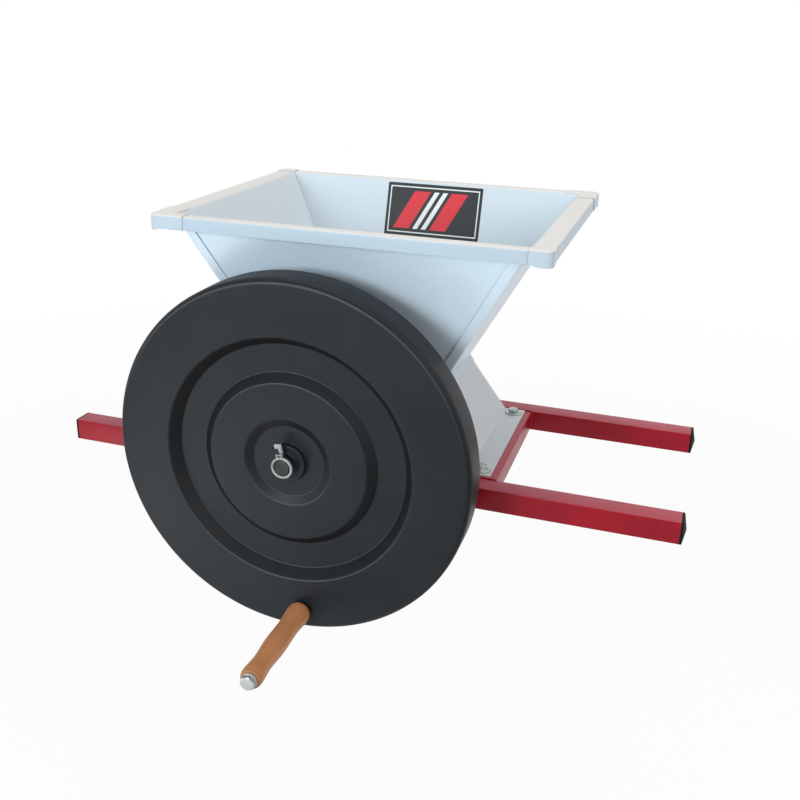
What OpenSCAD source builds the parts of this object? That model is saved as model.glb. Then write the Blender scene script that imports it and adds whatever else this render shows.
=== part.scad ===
// Hand-cranked grape crusher: a sheet hopper over two geared rollers, on a frame that lies across a tub.
// The origin is the centre of the frame, level with the underside of its rails.
// +X runs along the rails, +Y away from the flywheel, +Z up.

/* [Frame] */
// Length of each rail, without its end caps
rail_len = 845; // [700:5:1100]
// Outside of the square tube
rail_sq = 30; // [25:1:40]
// Wall of the rail and cross rail tubes
tube_wall = 2; // [1.5:0.1:3]
// Outside corner radius of the tubes
tube_round = 2.5; // [2:0.1:3]
// Gap between a rail and the bearing plate beside it
plate_rail_gap = 4.5; // [1:0.5:15]
// Width of a cross rail
cross_w = 40; // [36:1:50]
// How far the casing's folds lie outside the cross rails' inner faces
fold_over = 0.5; // [0.2:0.1:4]
// Thickness of an end cap's outer plate
cap_plate = 3; // [2:0.5:5]
// Rise of an end cap's middle above the edge of its outer plate
cap_rise = 4; // [0:0.5:6]
// Depth of an end cap's plug inside the tube
cap_plug = 14; // [8:1:25]

/* [Hopper] */
// Outside length of the rim, along X
rim_len = 500; // [460:5:560]
// Outside width of the rim, along Y
rim_wid = 400; // [360:5:440]
// Height of the rim's top above the underside of the rails
rim_top = 353.4; // [320:0.2:400]
// Width of the flat rim along the hopper's sides
side_flat = 26.5; // [20:0.5:32]
// Width of the flat rim along the hopper's front and rear
end_flat = 17; // [12:0.5:24]
// Depth of the rim's turned-down lip
rim_drop = 17; // [10:0.5:24]
// Thickness of the hopper sheet
sheet = 1.5; // [1:0.1:2]
// Width of the flanges that the side panels fold over the front and rear panels
fold_w = 13; // [10:1:24]
// Length of the lips that seat the hopper on the casing
lip_len = 12; // [8:0.5:14]
// Length along X of the longer rim corner pieces, at the front left and the rear right
long_leg_x = 46; // [32:1:60]
// Length along Y of the longer rim corner pieces
long_leg_y = 54; // [32:1:70]
// Length along X of the shorter rim corner pieces, at the front right and the rear left
short_leg_x = 27; // [20:1:40]
// Length along Y of the shorter rim corner pieces
short_leg_y = 20; // [14:1:40]
// Width of the part at a longer piece's corner that hangs as low as the shorter pieces
hook_w = 8; // [5:1:20]
// Thickness of a rim corner piece
corner_t = 1; // [0.8:0.1:2]
// Outside radius of a rim corner piece
corner_round = 9; // [6:0.5:14]
// How far a corner piece hangs below the rim's lip
corner_hang = 2; // [0:0.5:5]

/* [Casing] */
// Inside length of the neck between hopper and casing, along X
neck_len = 179; // [170:1:200]
// Distance over the outer faces of the two bearing plates, along Y
neck_wid = 236; // [220:1:250]
// Height of the neck
neck_z = 111; // [108:1:120]
// Length between the folds where the casing panels meet their flanges
base_len = 301; // [290:1:320]
// Thickness of the casing panels
casing_t = 2; // [1.5:0.1:3]
// Width of a casing flange
flange_w = 30.5; // [26:0.5:36]
// Thickness of a bearing plate
plate_t = 3; // [2.5:0.1:4]
// Height of the bearing plates' lower edge
plate_low = 4; // [2:1:20]

/* [Shafts and rollers] */
// Distance between the two shafts
shaft_gap = 102; // [98:1:106]
// Height of the shafts
shaft_z = 66.5; // [64:0.5:72]
// Diameter of the shafts
shaft_d = 20; // [16:0.5:22]
// Gap between the rollers' crests
nip = 6; // [5:0.5:12]
// Number of flutes round a roller
flutes = 12; // [8:2:16]
// Radius of a flute
flute_r = 9; // [6:0.5:10]
// Depth of a flute
flute_depth = 6; // [3:0.5:7]
// Gap between a roller's end and a bearing plate
roller_end_gap = 3; // [2.8:0.1:8]
// Diameter of the cores that lighten a roller
core_d = 15; // [8:1:16]
// Diameter of the pins through rollers and gears
pin_d = 6; // [4:0.5:7]
// Distance of a roller pin from the roller's end
roller_pin_inset = 18; // [12:1:40]

/* [Bushes] */
// Diameter of a bush's flange
bush_flange_d = 52; // [48:1:54]
// Thickness of a bush's flange
bush_flange_t = 5; // [3:0.5:8]
// Diameter of a bush's spigot and boss
bush_d = 32; // [28:1:33]
// Length of a bush's boss outside its flange
bush_boss = 13; // [6:1:16]
// Pitch circle of a bush's screws
bush_pcd = 42; // [41:0.5:43]
// Diameter of a bush's screws
bush_screw_d = 5; // [3:0.5:5]

/* [Gears] */
// Teeth on each gear
gear_teeth = 17; // [15:2:25]
// Width of a gear's teeth
gear_w = 22; // [12:1:24]
// Gap between the front rail and the gears
gear_gap = 15.5; // [8:0.5:24]
// Diameter of a gear's hub
gear_hub_d = 40; // [34:1:46]
// Length of a gear's hub behind its teeth
gear_hub_len = 12; // [10:1:14]
// Diameter of the lightening holes in a gear
gear_hole_d = 14; // [8:1:16]
// Play between the meshing teeth
backlash = 0.5; // [0.3:0.1:0.8]

/* [Flywheel] */
// Diameter of the flywheel
fly_d = 472; // [448:2:490]
// Depth of the flywheel's rim
fly_depth = 45; // [40:1:50]
// Gap between the gears and the rear of the flywheel
fly_gap = 10.4; // [4:0.2:20]
// Wall of the flywheel's moulding
fly_wall = 4; // [3:0.5:6]
// Radius of the rounded front edge
fly_edge_r = 8; // [5:0.5:12]
// Radius of the inner edge of the outer ring
outer_ring_r = 164; // [160:0.5:170]
// Outer radius of the recessed ring
recess_out_r = 152.7; // [148:0.1:156]
// Inner radius of the recessed ring
recess_in_r = 116.7; // [114:0.1:120]
// Depth of the recessed ring
recess_depth = 14; // [8:0.5:18]
// Outer radius of the raised ring
raised_out_r = 105.2; // [102:0.1:110]
// Inner radius of the raised ring
raised_in_r = 58.3; // [56:0.1:62]
// Depth of the raised ring
raised_depth = 3.5; // [2:0.5:6]
// Radius of the hub's floor
floor_r = 50.3; // [46:0.1:53]
// Depth of the hub's floor
floor_depth = 9.5; // [7:0.5:14]
// Radius of the flywheel's rear hub
fly_hub_r = 30; // [27:0.5:36]
// Radius of the first step of the front boss
boss_r = 24.6; // [22:0.1:27]
// Depth of the first step of the front boss
boss_depth = 1.7; // [0.5:0.1:4]
// Radius of the second step of the front boss
nose_r = 16.5; // [14:0.5:20]
// How far the second step stands in front of the flywheel
nose_out = 1; // [0:0.1:6]
// Ribs behind the flywheel's face
fly_ribs = 12; // [8:2:18]
// Thickness of a rib
rib_t = 3; // [2:0.5:5]
// Depth of a rib's rear edge
rib_depth = 32; // [26:1:38]
// Diameter of the pin that turns the flywheel
dog_d = 8; // [6:0.5:10]

/* [Linch pin] */
// Gap between the flywheel's boss and the linch pin
linch_gap = 0.6; // [0.3:0.1:3]
// Diameter of the linch pin
linch_d = 6; // [4:0.5:7]
// Length of the linch pin above the shaft's axis
linch_up = 30; // [28:0.5:40]
// Length of the linch pin below the shaft's axis
linch_down = 15; // [13:0.5:16]
// Lean of the linch pin from upright, in degrees
linch_lean = 11; // [0:1:30]
// Outside diameter of the linch pin's ring
ring_d = 29; // [28:0.5:32]
// Thickness of the ring
ring_t = 4.8; // [3:0.1:5]
// Gap between the ring and the linch pin
ring_seat = 0.2; // [0.2:0.05:0.5]
// Gap between the ring and the shaft
ring_gap = 0.7; // [0.6:0.05:1.2]

/* [Handle] */
// Distance of the handle's axis from the flywheel's outside
handle_inset = 26.7; // [24:0.1:44]
// Direction of the handle at rest, in degrees from +X towards +Z
handle_angle = -85; // [-180:0.25:180]
// Length of the grip
grip_len = 148; // [110:1:170]
// Diameter of the grip near the flywheel
grip_base_d = 30.5; // [26:0.5:36]
// Diameter of the grip's first waist
grip_waist_d = 27; // [24:0.5:32]
// Diameter of the grip's middle swell
grip_swell_d = 28.5; // [25:0.5:34]
// Diameter of the grip's second waist
grip_neck_d = 25; // [22:0.5:30]
// Diameter of the grip's flared tip
grip_tip_d = 28; // [24:0.5:34]
// Diameter of the handle's bolt
bolt_d = 10; // [8:0.5:12]

/* [Flange bolts] */
// Diameter of the flange bolts
flange_bolt_d = 8; // [6:1:10]
// Diameter of a flange washer
flange_washer_d = 24; // [20:1:26]
// Distance of a flange bolt from the end of its flange
flange_bolt_inset = 15.5; // [13:0.5:30]

/* [Fits] */
// Radial clearance of a shaft in a bush and of the grip on its bolt
running = 0.05; // [0.02:0.01:0.1]
// Radial clearance of pins, screws and plugs in their holes
slip = 0.05; // [0.02:0.01:0.1]
// Gap between faces that turn past each other
face_gap = 0.3; // [0.2:0.05:0.5]

/* [Hidden] */
$fn = 72;

enamel = "#dfe5ea";
grey_enamel = "#c3c6c9";
frame_red = "#a01f30";
black_plastic = "#2c2e30";
zinc = "#c4c6c8";
steel = "#8f9296";
cast_aluminium = "#b4b6b8";
nylon = "#e6e2d6";
wood = "#b97c52";

// How far a cut runs past the face that it opens, and how far joined solids lap
past = 1;

// Half sizes of the hopper and the casing
neck_hx = neck_len / 2;
neck_hy = neck_wid / 2;
base_hx = base_len / 2;
rim_hx = rim_len / 2;
rim_hy = rim_wid / 2;
mouth_hx = rim_hx - side_flat;
mouth_hy = rim_hy - end_flat;
rail_in_y = neck_hy + plate_rail_gap;
rail_y = rail_in_y + rail_sq / 2;
rail_out_y = rail_in_y + rail_sq;
cross_x = base_hx - fold_over + cross_w / 2;
fold_z = rail_sq + casing_t;

// Wall and corner radius of an end cap's plug
cap_wall = 2.5;
cap_round = 1;

// Slopes of the hopper's walls, and the stretch of a wall's thickness along a level line
side_slope = (mouth_hx - neck_hx) / (rim_top - neck_z);
front_slope = (mouth_hy - neck_hy) / (rim_top - neck_z);
side_stretch = sqrt(1 + side_slope * side_slope);
front_stretch = sqrt(1 + front_slope * front_slope);
flange_end_z = rim_top - sheet;
rim_low = rim_top - rim_drop;

// Centres and bores of the moving parts
drive_x = -shaft_gap / 2;
driven_x = shaft_gap / 2;
roller_r = (shaft_gap - nip) / 2;
roller_hy = neck_hy - plate_t - roller_end_gap;
roller_pin_y = roller_hy - roller_pin_inset;
running_bore = shaft_d + 2 * running;
fixed_bore = shaft_d + 2 * slip;
pin_hole = pin_d + 2 * slip;
bush_end = neck_hy + bush_flange_t + bush_boss;
collar_w = 12;
collar_wall = 7;
collar_d = shaft_d + 2 * collar_wall;
collar_screw_d = 6;
screw_sink = 0.5;
shaft_stub = 4;
shaft_rear = bush_end + face_gap + collar_w + shaft_stub;
chamfer = 1;
pin_sink = 1.5;
core_r = (shaft_d / 2 + roller_r - flute_depth) / 2;
bush_screw_head = 2;
bush_nut_t = 0.8 * bush_screw_d;
bush_screw_stub = 1.5;

// Positions along the front ends of the shafts, as distances in front of the frame's centre
gear_rear = rail_out_y + gear_gap;
gear_front = gear_rear + gear_w;
gear_hub_rear = gear_rear - gear_hub_len;
gear_pin_y = -(gear_rear - gear_hub_len / 2);
driven_front = gear_front + shaft_stub;
fly_rear = gear_front + fly_gap;
fly_front = fly_rear + fly_depth;
dog_y = -(fly_rear + dog_d / 2);
dog_len = 1.6 * fly_hub_r;
linch_y = -(fly_front + nose_out + linch_gap + linch_d / 2);
shaft_front = -linch_y + linch_d / 2 + ring_seat + ring_t;
spacer_wall = 6;
spacer_d = shaft_d + 2 * spacer_wall;

// Involute gear sizes
pressure = 20;
gear_module = shaft_gap / gear_teeth;
pitch_r = shaft_gap / 2;
tip_r = pitch_r + gear_module;
root_r = pitch_r - 1.25 * gear_module;
base_r = pitch_r * cos(pressure);
flank_steps = 5;
tooth_half = 90 / gear_teeth - backlash / 4 / pitch_r * 180 / PI;

// Handle bolt, nut and washers
handle_r = fly_d / 2 - handle_inset;
handle_x = drive_x + handle_r * cos(handle_angle);
handle_z = shaft_z + handle_r * sin(handle_angle);
bolt_af = 1.7 * bolt_d;
bolt_head = 0.64 * bolt_d;
nut_t = 0.8 * bolt_d;
washer_t = 2;
washer_d = 2 * bolt_d;
bolt_hole = bolt_d + 2 * slip;
boss_len = 18;
grip_base_y = -(fly_front + washer_t + face_gap);
grip_tip_y = grip_base_y - grip_len;
head_y = grip_tip_y - face_gap - washer_t;
nut_y = -(fly_front - boss_len);
bolt_stub = 3;
bolt_end_y = nut_y + nut_t + bolt_stub;

// Flange bolts
flange_x = base_hx + flange_w / 2;
flange_y = neck_hy - flange_bolt_inset;
flange_washer_t = 2;
flange_play = 1;
flange_hole = flange_bolt_d + flange_play;
flange_nut_t = 0.8 * flange_bolt_d;
flange_af = 1.625 * flange_bolt_d;
flange_bolt_head = 0.65 * flange_bolt_d;
flange_bolt_stub = 2;

// Rivets between the hopper's front and rear lips and the bearing plates
rivet_d = 4;
rivet_head_d = 2 * rivet_d;
rivet_head = 1.2;
rivet_z = neck_z - 0.55 * lip_len;

// Linch pin hinge, measured in the pin's own frame
hinge_rise = 1.8;
hinge_z = ring_d / 2 + hinge_rise;
hinge_y = -(linch_d + ring_t) / 2 - ring_seat;
hinge_d = 2.4;
eye_d = 4.6;
block_w = 3.6;
eye_w = 2.4;
hinge_stub = 0.6;

// Sheet sections: a path with a wall on one side, mitred at each bend
function unit(v) = v / norm(v);
function left_of(v) = [-v[1], v[0]];
function step_in(p, i) = i > 0 ? unit(p[i] - p[i - 1]) : unit(p[1] - p[0]);
function step_out(p, i) = i < len(p) - 1 ? unit(p[i + 1] - p[i]) : step_in(p, i);
function bisector(p, i) = unit(left_of(step_in(p, i)) + left_of(step_out(p, i)));
function mitre(p, i, t) = p[i] + bisector(p, i) * t / (bisector(p, i) * left_of(step_in(p, i)));
function section(p, t, first, last) = concat(
  [for (i = [first:last]) p[i]],
  [for (i = [last:-1:first]) mitre(p, i, t)]
);

// Half length of the hopper at a height, and its half width, with a wall of thickness t outside
function side_x(z, t) = neck_hx + side_slope * (z - neck_z) + t * side_stretch;
function front_y(z, t) = neck_hy + front_slope * (z - neck_z) + t * front_stretch;

// Direction down the casing's slope, as X and Z
casing_down = unit([base_hx - neck_hx, fold_z - neck_z]);

// Outer face of a casing panel from the neck to the end of its flange, as X and Z
casing_path = [[neck_hx, neck_z], [base_hx, fold_z], [base_hx + flange_w, fold_z]];
casing_inner_top = mitre(casing_path, 0, -casing_t);
casing_inner_fold = mitre(casing_path, 1, -casing_t);

// Front face of the flywheel, as radius and depth
face_path = [
  [fly_hub_r - past, floor_depth],
  [floor_r, floor_depth],
  [raised_in_r, raised_depth],
  [raised_out_r, raised_depth],
  [recess_in_r, recess_depth],
  [recess_out_r, recess_depth],
  [outer_ring_r, 0],
  [fly_d / 2 - fly_edge_r, 0]
];

// Draws a section in X and Z between two values of Y
module along_y(y0, y1) {
  translate([0, y1, 0]) rotate([90, 0, 0]) linear_extrude(y1 - y0) children();
}

// Draws a section in Y and Z between two values of X
module along_x(x0, x1) {
  translate([x0, 0, 0]) rotate([90, 0, 90]) linear_extrude(x1 - x0) children();
}

// Round bar along Y
module bar_y(x, z, y0, y1, d) {
  translate([x, y1, z]) rotate([90, 0, 0]) cylinder(h = y1 - y0, d = d);
}

// Hexagon along Y, measured across its flats
module hex_y(x, z, y0, y1, flats) {
  translate([x, y1, z]) rotate([90, 0, 0]) cylinder(h = y1 - y0, d = flats / cos(30), $fn = 6);
}

// Round bar along Z
module bar_z(x, y, z0, z1, d) {
  translate([x, y, z0]) cylinder(h = z1 - z0, d = d);
}

// Rectangle with round corners, centred
module rounded(w, h, r) {
  square([w - 2 * r, h], center = true);
  square([w, h - 2 * r], center = true);
  for (x = [-1, 1], y = [-1, 1]) translate([x * (w / 2 - r), y * (h / 2 - r)]) circle(r);
}

// Section of a square or oblong tube
module tube_section(w, h) {
  difference() {
    rounded(w, h, tube_round);
    rounded(w - 2 * tube_wall, h - 2 * tube_wall, max(tube_round - tube_wall, 0.4));
  }
}

module rail(y) {
  color(frame_red) translate([0, y, rail_sq / 2]) along_x(-rail_len / 2, rail_len / 2) {
    tube_section(rail_sq, rail_sq);
  }
}

// Cross rail welded between the rails, with a hole in its upper wall for each flange bolt
module cross_rail(side) {
  color(frame_red) difference() {
    translate([side * cross_x, 0, rail_sq / 2]) along_y(-rail_in_y, rail_in_y) {
      tube_section(cross_w, rail_sq);
    }
    for (y = [-flange_y, flange_y]) {
      bar_z(side * flange_x, y, rail_sq - tube_wall - past, rail_sq + past, flange_hole);
    }
  }
}

// Outline of an end cap's outer plate with its raised middle, from the end of a rail
module cap_roof(end) {
  half = rail_sq / 2;
  edge = end + cap_plate;
  polygon([[end, -half], [edge, -half], [edge + cap_rise, 0], [edge, half], [end, half]]);
}

// Black cap on the end of a rail: a square plate and a hollow plug inside the tube
module end_cap(side, y) {
  inside = rail_sq - 2 * tube_wall - 2 * slip;
  hollow = inside - 2 * cap_wall;
  end = rail_len / 2;
  color(black_plastic) mirror([side > 0 ? 0 : 1, 0, 0]) translate([0, y, rail_sq / 2]) {
    intersection() {
      along_x(end, end + cap_plate + cap_rise) rounded(rail_sq, rail_sq, tube_round);
      along_y(-rail_sq / 2, rail_sq / 2) cap_roof(end);
      translate([0, 0, -rail_sq / 2]) linear_extrude(rail_sq) cap_roof(end);
    }
    difference() {
      along_x(end - cap_plug, end) rounded(inside, inside, cap_round);
      along_x(end - cap_plug - past, end - cap_wall) rounded(hollow, hollow, cap_round);
    }
  }
}

// Slanted edge from the neck to the rim's underside, run on upright at both ends by a length
function slant(at_neck, at_rim, over) = concat(
  over > 0 ? [[at_neck, neck_z - over]] : [],
  [[at_neck, neck_z], [at_rim, flange_end_z]],
  over > 0 ? [[at_rim, flange_end_z + over]] : []
);
function reversed(p) = [for (i = [len(p) - 1:-1:0]) p[i]];

// Region between two slanted edges, each given by its places at the neck and at the rim's underside
module between(a, b, over = 0) {
  polygon(concat(slant(a[0], a[1], over), reversed(slant(b[0], b[1], over))));
}

// Places of a wall's face at the neck and at the rim's underside, for a thickness outside its inner face
function side_ends(t) = [side_x(neck_z, t), side_x(flange_end_z, t)];
function front_ends(t) = [front_y(neck_z, t), front_y(flange_end_z, t)];

// Section of the turned-down rim, from the top of a wall's inner face to the rim's outside
function rim_section(foot, mouth, edge) = [
  [foot, flange_end_z], [mouth, rim_top], [edge, rim_top],
  [edge, rim_low], [edge - sheet, rim_low], [edge - sheet, flange_end_z]
];

// Lip below a wall, between the wall's two faces at the neck
module lip_section(ends_in, ends_out, down) {
  inner = [ends_in[0], neck_z];
  outer = [ends_out[0], neck_z];
  polygon([inner, outer, outer + lip_len * down, inner + lip_len * down]);
}

// Side panel of the hopper: wall, casing lip, rim and the two flanges folded over its neighbours
module hopper_side(side) {
  reach = fold_w * side_stretch;
  color(enamel) mirror([side > 0 ? 0 : 1, 0, 0]) {
    along_y(-neck_hy, neck_hy) lip_section(side_ends(0), side_ends(sheet), casing_down);
    difference() {
      intersection() {
        along_y(-rim_hy, rim_hy) between(side_ends(sheet) - [reach, reach], side_ends(sheet));
        along_x(0, rim_hx) between(-front_ends(2 * sheet), front_ends(2 * sheet));
      }
      intersection() {
        along_y(-rim_hy, rim_hy) between([0, 0], side_ends(0), past);
        along_x(0, rim_hx) between(-front_ends(sheet), front_ends(sheet), past);
      }
    }
    intersection() {
      along_y(-rim_hy, rim_hy) polygon(rim_section(side_ends(0)[1], mouth_hx, rim_hx));
      linear_extrude(rim_top + past) rounded(rim_len, rim_wid, corner_round - corner_t);
    }
  }
}

// Front or rear panel of the hopper, between the side panels
module hopper_end(side) {
  rim_end = side_ends(0)[1] - slip;
  color(enamel) mirror([0, side > 0 ? 0 : 1, 0]) difference() {
    union() {
      along_x(-neck_hx, neck_hx) lip_section(front_ends(0), front_ends(sheet), [0, -1]);
      intersection() {
        along_x(-rim_hx, rim_hx) between(front_ends(0), front_ends(sheet));
        along_y(0, rim_hy) between(-side_ends(0), side_ends(0));
      }
      along_x(-rim_end, rim_end) polygon(rim_section(front_ends(0)[1], mouth_hy, rim_hy));
    }
    rivet_places() bar_y(0, 0, neck_hy - past, front_ends(sheet)[0] + past, rivet_d + 2 * slip);
  }
}

// Block at a corner of the rim, from a height to above the rim
module corner_block(legs, low) {
  translate([rim_hx - legs[0], rim_hy - legs[1], low]) {
    cube([legs[0] + corner_t, legs[1] + corner_t, rim_top + 2 * corner_t - low]);
  }
}

// Thin cover over a corner of the rim, with a rounded outer edge that hangs lower at the corner
module rim_corner(side, end) {
  longer = side * end > 0;
  legs = longer ? [long_leg_x, long_leg_y] : [short_leg_x, short_leg_y];
  hook = longer ? [hook_w, hook_w] : legs;
  low = rim_low - corner_hang;
  color(enamel) mirror([side > 0 ? 0 : 1, 0, 0]) mirror([0, end > 0 ? 0 : 1, 0]) intersection() {
    difference() {
      translate([0, 0, low]) linear_extrude(rim_top + corner_t - low) {
        rounded(rim_len + 2 * corner_t, rim_wid + 2 * corner_t, corner_round);
      }
      translate([0, 0, low - past]) linear_extrude(rim_top - low + past) {
        rounded(rim_len, rim_wid, corner_round - corner_t);
      }
      translate([-mouth_hx, -mouth_hy, low]) cube([2 * mouth_hx, 2 * mouth_hy, rim_top]);
    }
    union() {
      corner_block(legs, rim_low);
      corner_block(hook, low);
    }
  }
}

// Sloping side of the lower casing, with the flange that is bolted to a cross rail
module casing_side(side) {
  color(grey_enamel) mirror([side > 0 ? 0 : 1, 0, 0]) difference() {
    along_y(-neck_hy, neck_hy) polygon(section(casing_path, -casing_t, 0, 2));
    for (y = [-flange_y, flange_y]) bar_z(flange_x, y, rail_sq - past, fold_z + past, flange_hole);
  }
}

// Plate between the casing sides that carries the bushes and closes the outlet
module bearing_plate(side) {
  top = casing_inner_top;
  fold = casing_inner_fold;
  y0 = side > 0 ? neck_hy - plate_t : -neck_hy;
  color(grey_enamel) difference() {
    along_y(y0, y0 + plate_t) polygon([
      [-fold[0], plate_low], [fold[0], plate_low], fold, top, [-top[0], top[1]], [-fold[0], fold[1]]
    ]);
    for (x = [drive_x, driven_x]) {
      bar_y(x, shaft_z, y0 - past, y0 + plate_t + past, bush_d + 2 * slip);
      bush_screw_places(x) bar_y(0, 0, y0 - past, y0 + plate_t + past, bush_screw_d + 2 * slip);
    }
    rivet_places() bar_y(0, 0, y0 - past, y0 + plate_t + past, rivet_d + 2 * slip);
  }
}

// Places of the rivets that hold the hopper's front and rear lips to the bearing plates
module rivet_places() {
  for (x = [-1, 0, 1]) translate([x * 0.7 * neck_hx, 0, rivet_z]) children();
}

// Places of the screws round a bush
module bush_screw_places(x) {
  r = bush_pcd / 2;
  for (a = [90, 210, 330]) translate([x + r * cos(a), 0, shaft_z + r * sin(a)]) children();
}

// Hexagon bolts that hold the casing's flanges to the cross rails
module flange_bolts() {
  seat = fold_z + flange_washer_t;
  color(zinc) for (x = [-flange_x, flange_x], y = [-flange_y, flange_y]) {
    bar_z(x, y, rail_sq - tube_wall - flange_nut_t - flange_bolt_stub, seat, flange_bolt_d);
    translate([x, y, seat]) cylinder(h = flange_bolt_head, d = flange_af / cos(30), $fn = 6);
  }
}

module flange_washers() {
  color(zinc) for (x = [-flange_x, flange_x], y = [-flange_y, flange_y]) difference() {
    bar_z(x, y, fold_z, fold_z + flange_washer_t, flange_washer_d);
    bar_z(x, y, fold_z - past, fold_z + flange_washer_t + past, flange_bolt_d + 2 * slip);
  }
}

// Nuts welded under the upper walls of the cross rails
module flange_nuts() {
  top = rail_sq - tube_wall;
  color(steel) for (x = [-flange_x, flange_x], y = [-flange_y, flange_y]) difference() {
    translate([x, y, top - flange_nut_t]) cylinder(h = flange_nut_t, d = flange_af / cos(30), $fn = 6);
    bar_z(x, y, top - flange_nut_t - past, top + past, flange_bolt_d + 2 * slip);
  }
}

// Rivets through the hopper's lips, with a flat head on both faces
module neck_rivets() {
  inner = neck_hy - plate_t;
  outer = front_ends(sheet)[0];
  color(zinc) for (side = [0, 1]) mirror([0, side, 0]) rivet_places() {
    bar_y(0, 0, inner - rivet_head, outer + rivet_head, rivet_d);
    bar_y(0, 0, inner - rivet_head, inner, rivet_head_d);
    bar_y(0, 0, outer, outer + rivet_head, rivet_head_d);
  }
}

// Flanged bush: a spigot in the plate, a screwed flange outside it and a boss round the shaft
module bush(x, side) {
  color(nylon) mirror([0, side > 0 ? 0 : 1, 0]) difference() {
    union() {
      bar_y(x, shaft_z, neck_hy - plate_t, bush_end, bush_d);
      bar_y(x, shaft_z, neck_hy, neck_hy + bush_flange_t, bush_flange_d);
    }
    bar_y(x, shaft_z, neck_hy - plate_t - past, bush_end + past, running_bore);
    bush_screw_places(x) {
      bar_y(0, 0, neck_hy - past, neck_hy + bush_flange_t + past, bush_screw_d + 2 * slip);
    }
  }
}

// Low-headed screws from inside the plates, under the bushes' flanges
module bush_screws() {
  inner = neck_hy - plate_t;
  color(zinc) for (side = [0, 1], x = [drive_x, driven_x]) mirror([0, side, 0]) bush_screw_places(x) {
    bar_y(0, 0, inner, neck_hy + bush_flange_t + bush_nut_t + bush_screw_stub, bush_screw_d);
    bar_y(0, 0, inner - bush_screw_head, inner, 1.8 * bush_screw_d);
  }
}

module bush_nuts() {
  seat = neck_hy + bush_flange_t;
  color(zinc) for (side = [0, 1], x = [drive_x, driven_x]) mirror([0, side, 0]) {
    bush_screw_places(x) difference() {
      hex_y(0, 0, seat, seat + bush_nut_t, 1.6 * bush_screw_d);
      bar_y(0, 0, seat - past, seat + bush_nut_t + past, bush_screw_d + 2 * slip);
    }
  }
}

// Shaft along Y with bevelled ends
module shaft_bar(x, y0, y1) {
  end_d = shaft_d - 2 * chamfer;
  bar_y(x, shaft_z, y0 + chamfer, y1 - chamfer, shaft_d);
  translate([x, y0 + chamfer, shaft_z]) rotate([90, 0, 0]) cylinder(h = chamfer, d1 = shaft_d, d2 = end_d);
  translate([x, y1 - chamfer, shaft_z]) rotate([-90, 0, 0]) cylinder(h = chamfer, d1 = shaft_d, d2 = end_d);
}

// Upright cross holes that both shafts have, for the roller and gear pins
module shaft_holes(x) {
  for (y = [-roller_pin_y, roller_pin_y, gear_pin_y]) {
    bar_z(x, y, shaft_z - shaft_d, shaft_z + shaft_d, pin_hole);
  }
}

module drive_shaft() {
  color(steel) difference() {
    shaft_bar(drive_x, -shaft_front, shaft_rear);
    shaft_holes(drive_x);
    bar_z(drive_x, dog_y, shaft_z - shaft_d, shaft_z + shaft_d, dog_d + 2 * slip);
    linch_frame() bar_z(0, 0, -shaft_d, shaft_d, linch_d + 2 * slip);
  }
}

module driven_shaft() {
  color(steel) difference() {
    shaft_bar(driven_x, -driven_front, shaft_rear);
    shaft_holes(driven_x);
  }
}

// Fluted roller with cored ends, pinned to its shaft
module roller(x) {
  pitch = roller_r - flute_depth + flute_r;
  color(cast_aluminium) difference() {
    translate([x, 0, shaft_z]) along_y(-roller_hy, roller_hy) difference() {
      circle(roller_r);
      circle(d = fixed_bore);
      for (i = [0:flutes - 1]) rotate(90 + i * 360 / flutes) translate([pitch, 0]) circle(flute_r);
      for (a = [0:60:300]) rotate(a) translate([core_r, 0]) circle(d = core_d);
    }
    for (y = [-roller_pin_y, roller_pin_y]) bar_z(x, y, shaft_z - roller_r, shaft_z + roller_r, pin_hole);
  }
}

module roller_pins(x) {
  reach = roller_r - flute_depth - pin_sink;
  color(zinc) for (y = [-roller_pin_y, roller_pin_y]) bar_z(x, y, shaft_z - reach, shaft_z + reach, pin_d);
}

// Involute of the base circle: the angle that it has turned through at a radius, in degrees
function involute(r) = sqrt(pow(r / base_r, 2) - 1) * 180 / PI - acos(base_r / r);
function flank_half(r) = tooth_half + involute(pitch_r) - involute(r);
function flank_r(i) = base_r + (tip_r - base_r) * i / flank_steps;
function at(r, a) = [r * cos(a), r * sin(a)];

// One tooth's outline, from its root through both flanks to the next root
function tooth(a) = concat(
  [at(root_r, a - flank_half(base_r))],
  [for (i = [0:flank_steps]) at(flank_r(i), a - flank_half(flank_r(i)))],
  [for (i = [flank_steps:-1:0]) at(flank_r(i), a + flank_half(flank_r(i)))],
  [at(root_r, a + flank_half(base_r))]
);

// Spur gear with a hub towards the frame, pinned to its shaft and turned by a phase to mesh
module gear(x, phase) {
  hole_r = (gear_hub_d / 2 + root_r) / 2;
  color(nylon) difference() {
    union() {
      translate([x, 0, shaft_z]) along_y(-gear_front, -gear_rear) difference() {
        polygon([for (i = [0:gear_teeth - 1], p = tooth(phase + i * 360 / gear_teeth)) p]);
        for (a = [30:60:330]) rotate(a) translate([hole_r, 0]) circle(d = gear_hole_d);
      }
      bar_y(x, shaft_z, -gear_rear, -gear_hub_rear, gear_hub_d);
    }
    bar_y(x, shaft_z, -gear_front - past, -gear_hub_rear + past, fixed_bore);
    bar_z(x, gear_pin_y, shaft_z - gear_hub_d, shaft_z + gear_hub_d, pin_hole);
  }
}

module gear_pin(x) {
  reach = gear_hub_d / 2 - pin_sink;
  color(zinc) bar_z(x, gear_pin_y, shaft_z - reach, shaft_z + reach, pin_d);
}

// Tube round a shaft
module sleeve(x, y0, y1, d) {
  difference() {
    bar_y(x, shaft_z, y0, y1, d);
    bar_y(x, shaft_z, y0 - past, y1 + past, fixed_bore);
  }
}

module gear_spacer(x) {
  color(zinc) sleeve(x, -gear_hub_rear, -bush_end - face_gap, spacer_d);
}

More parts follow.
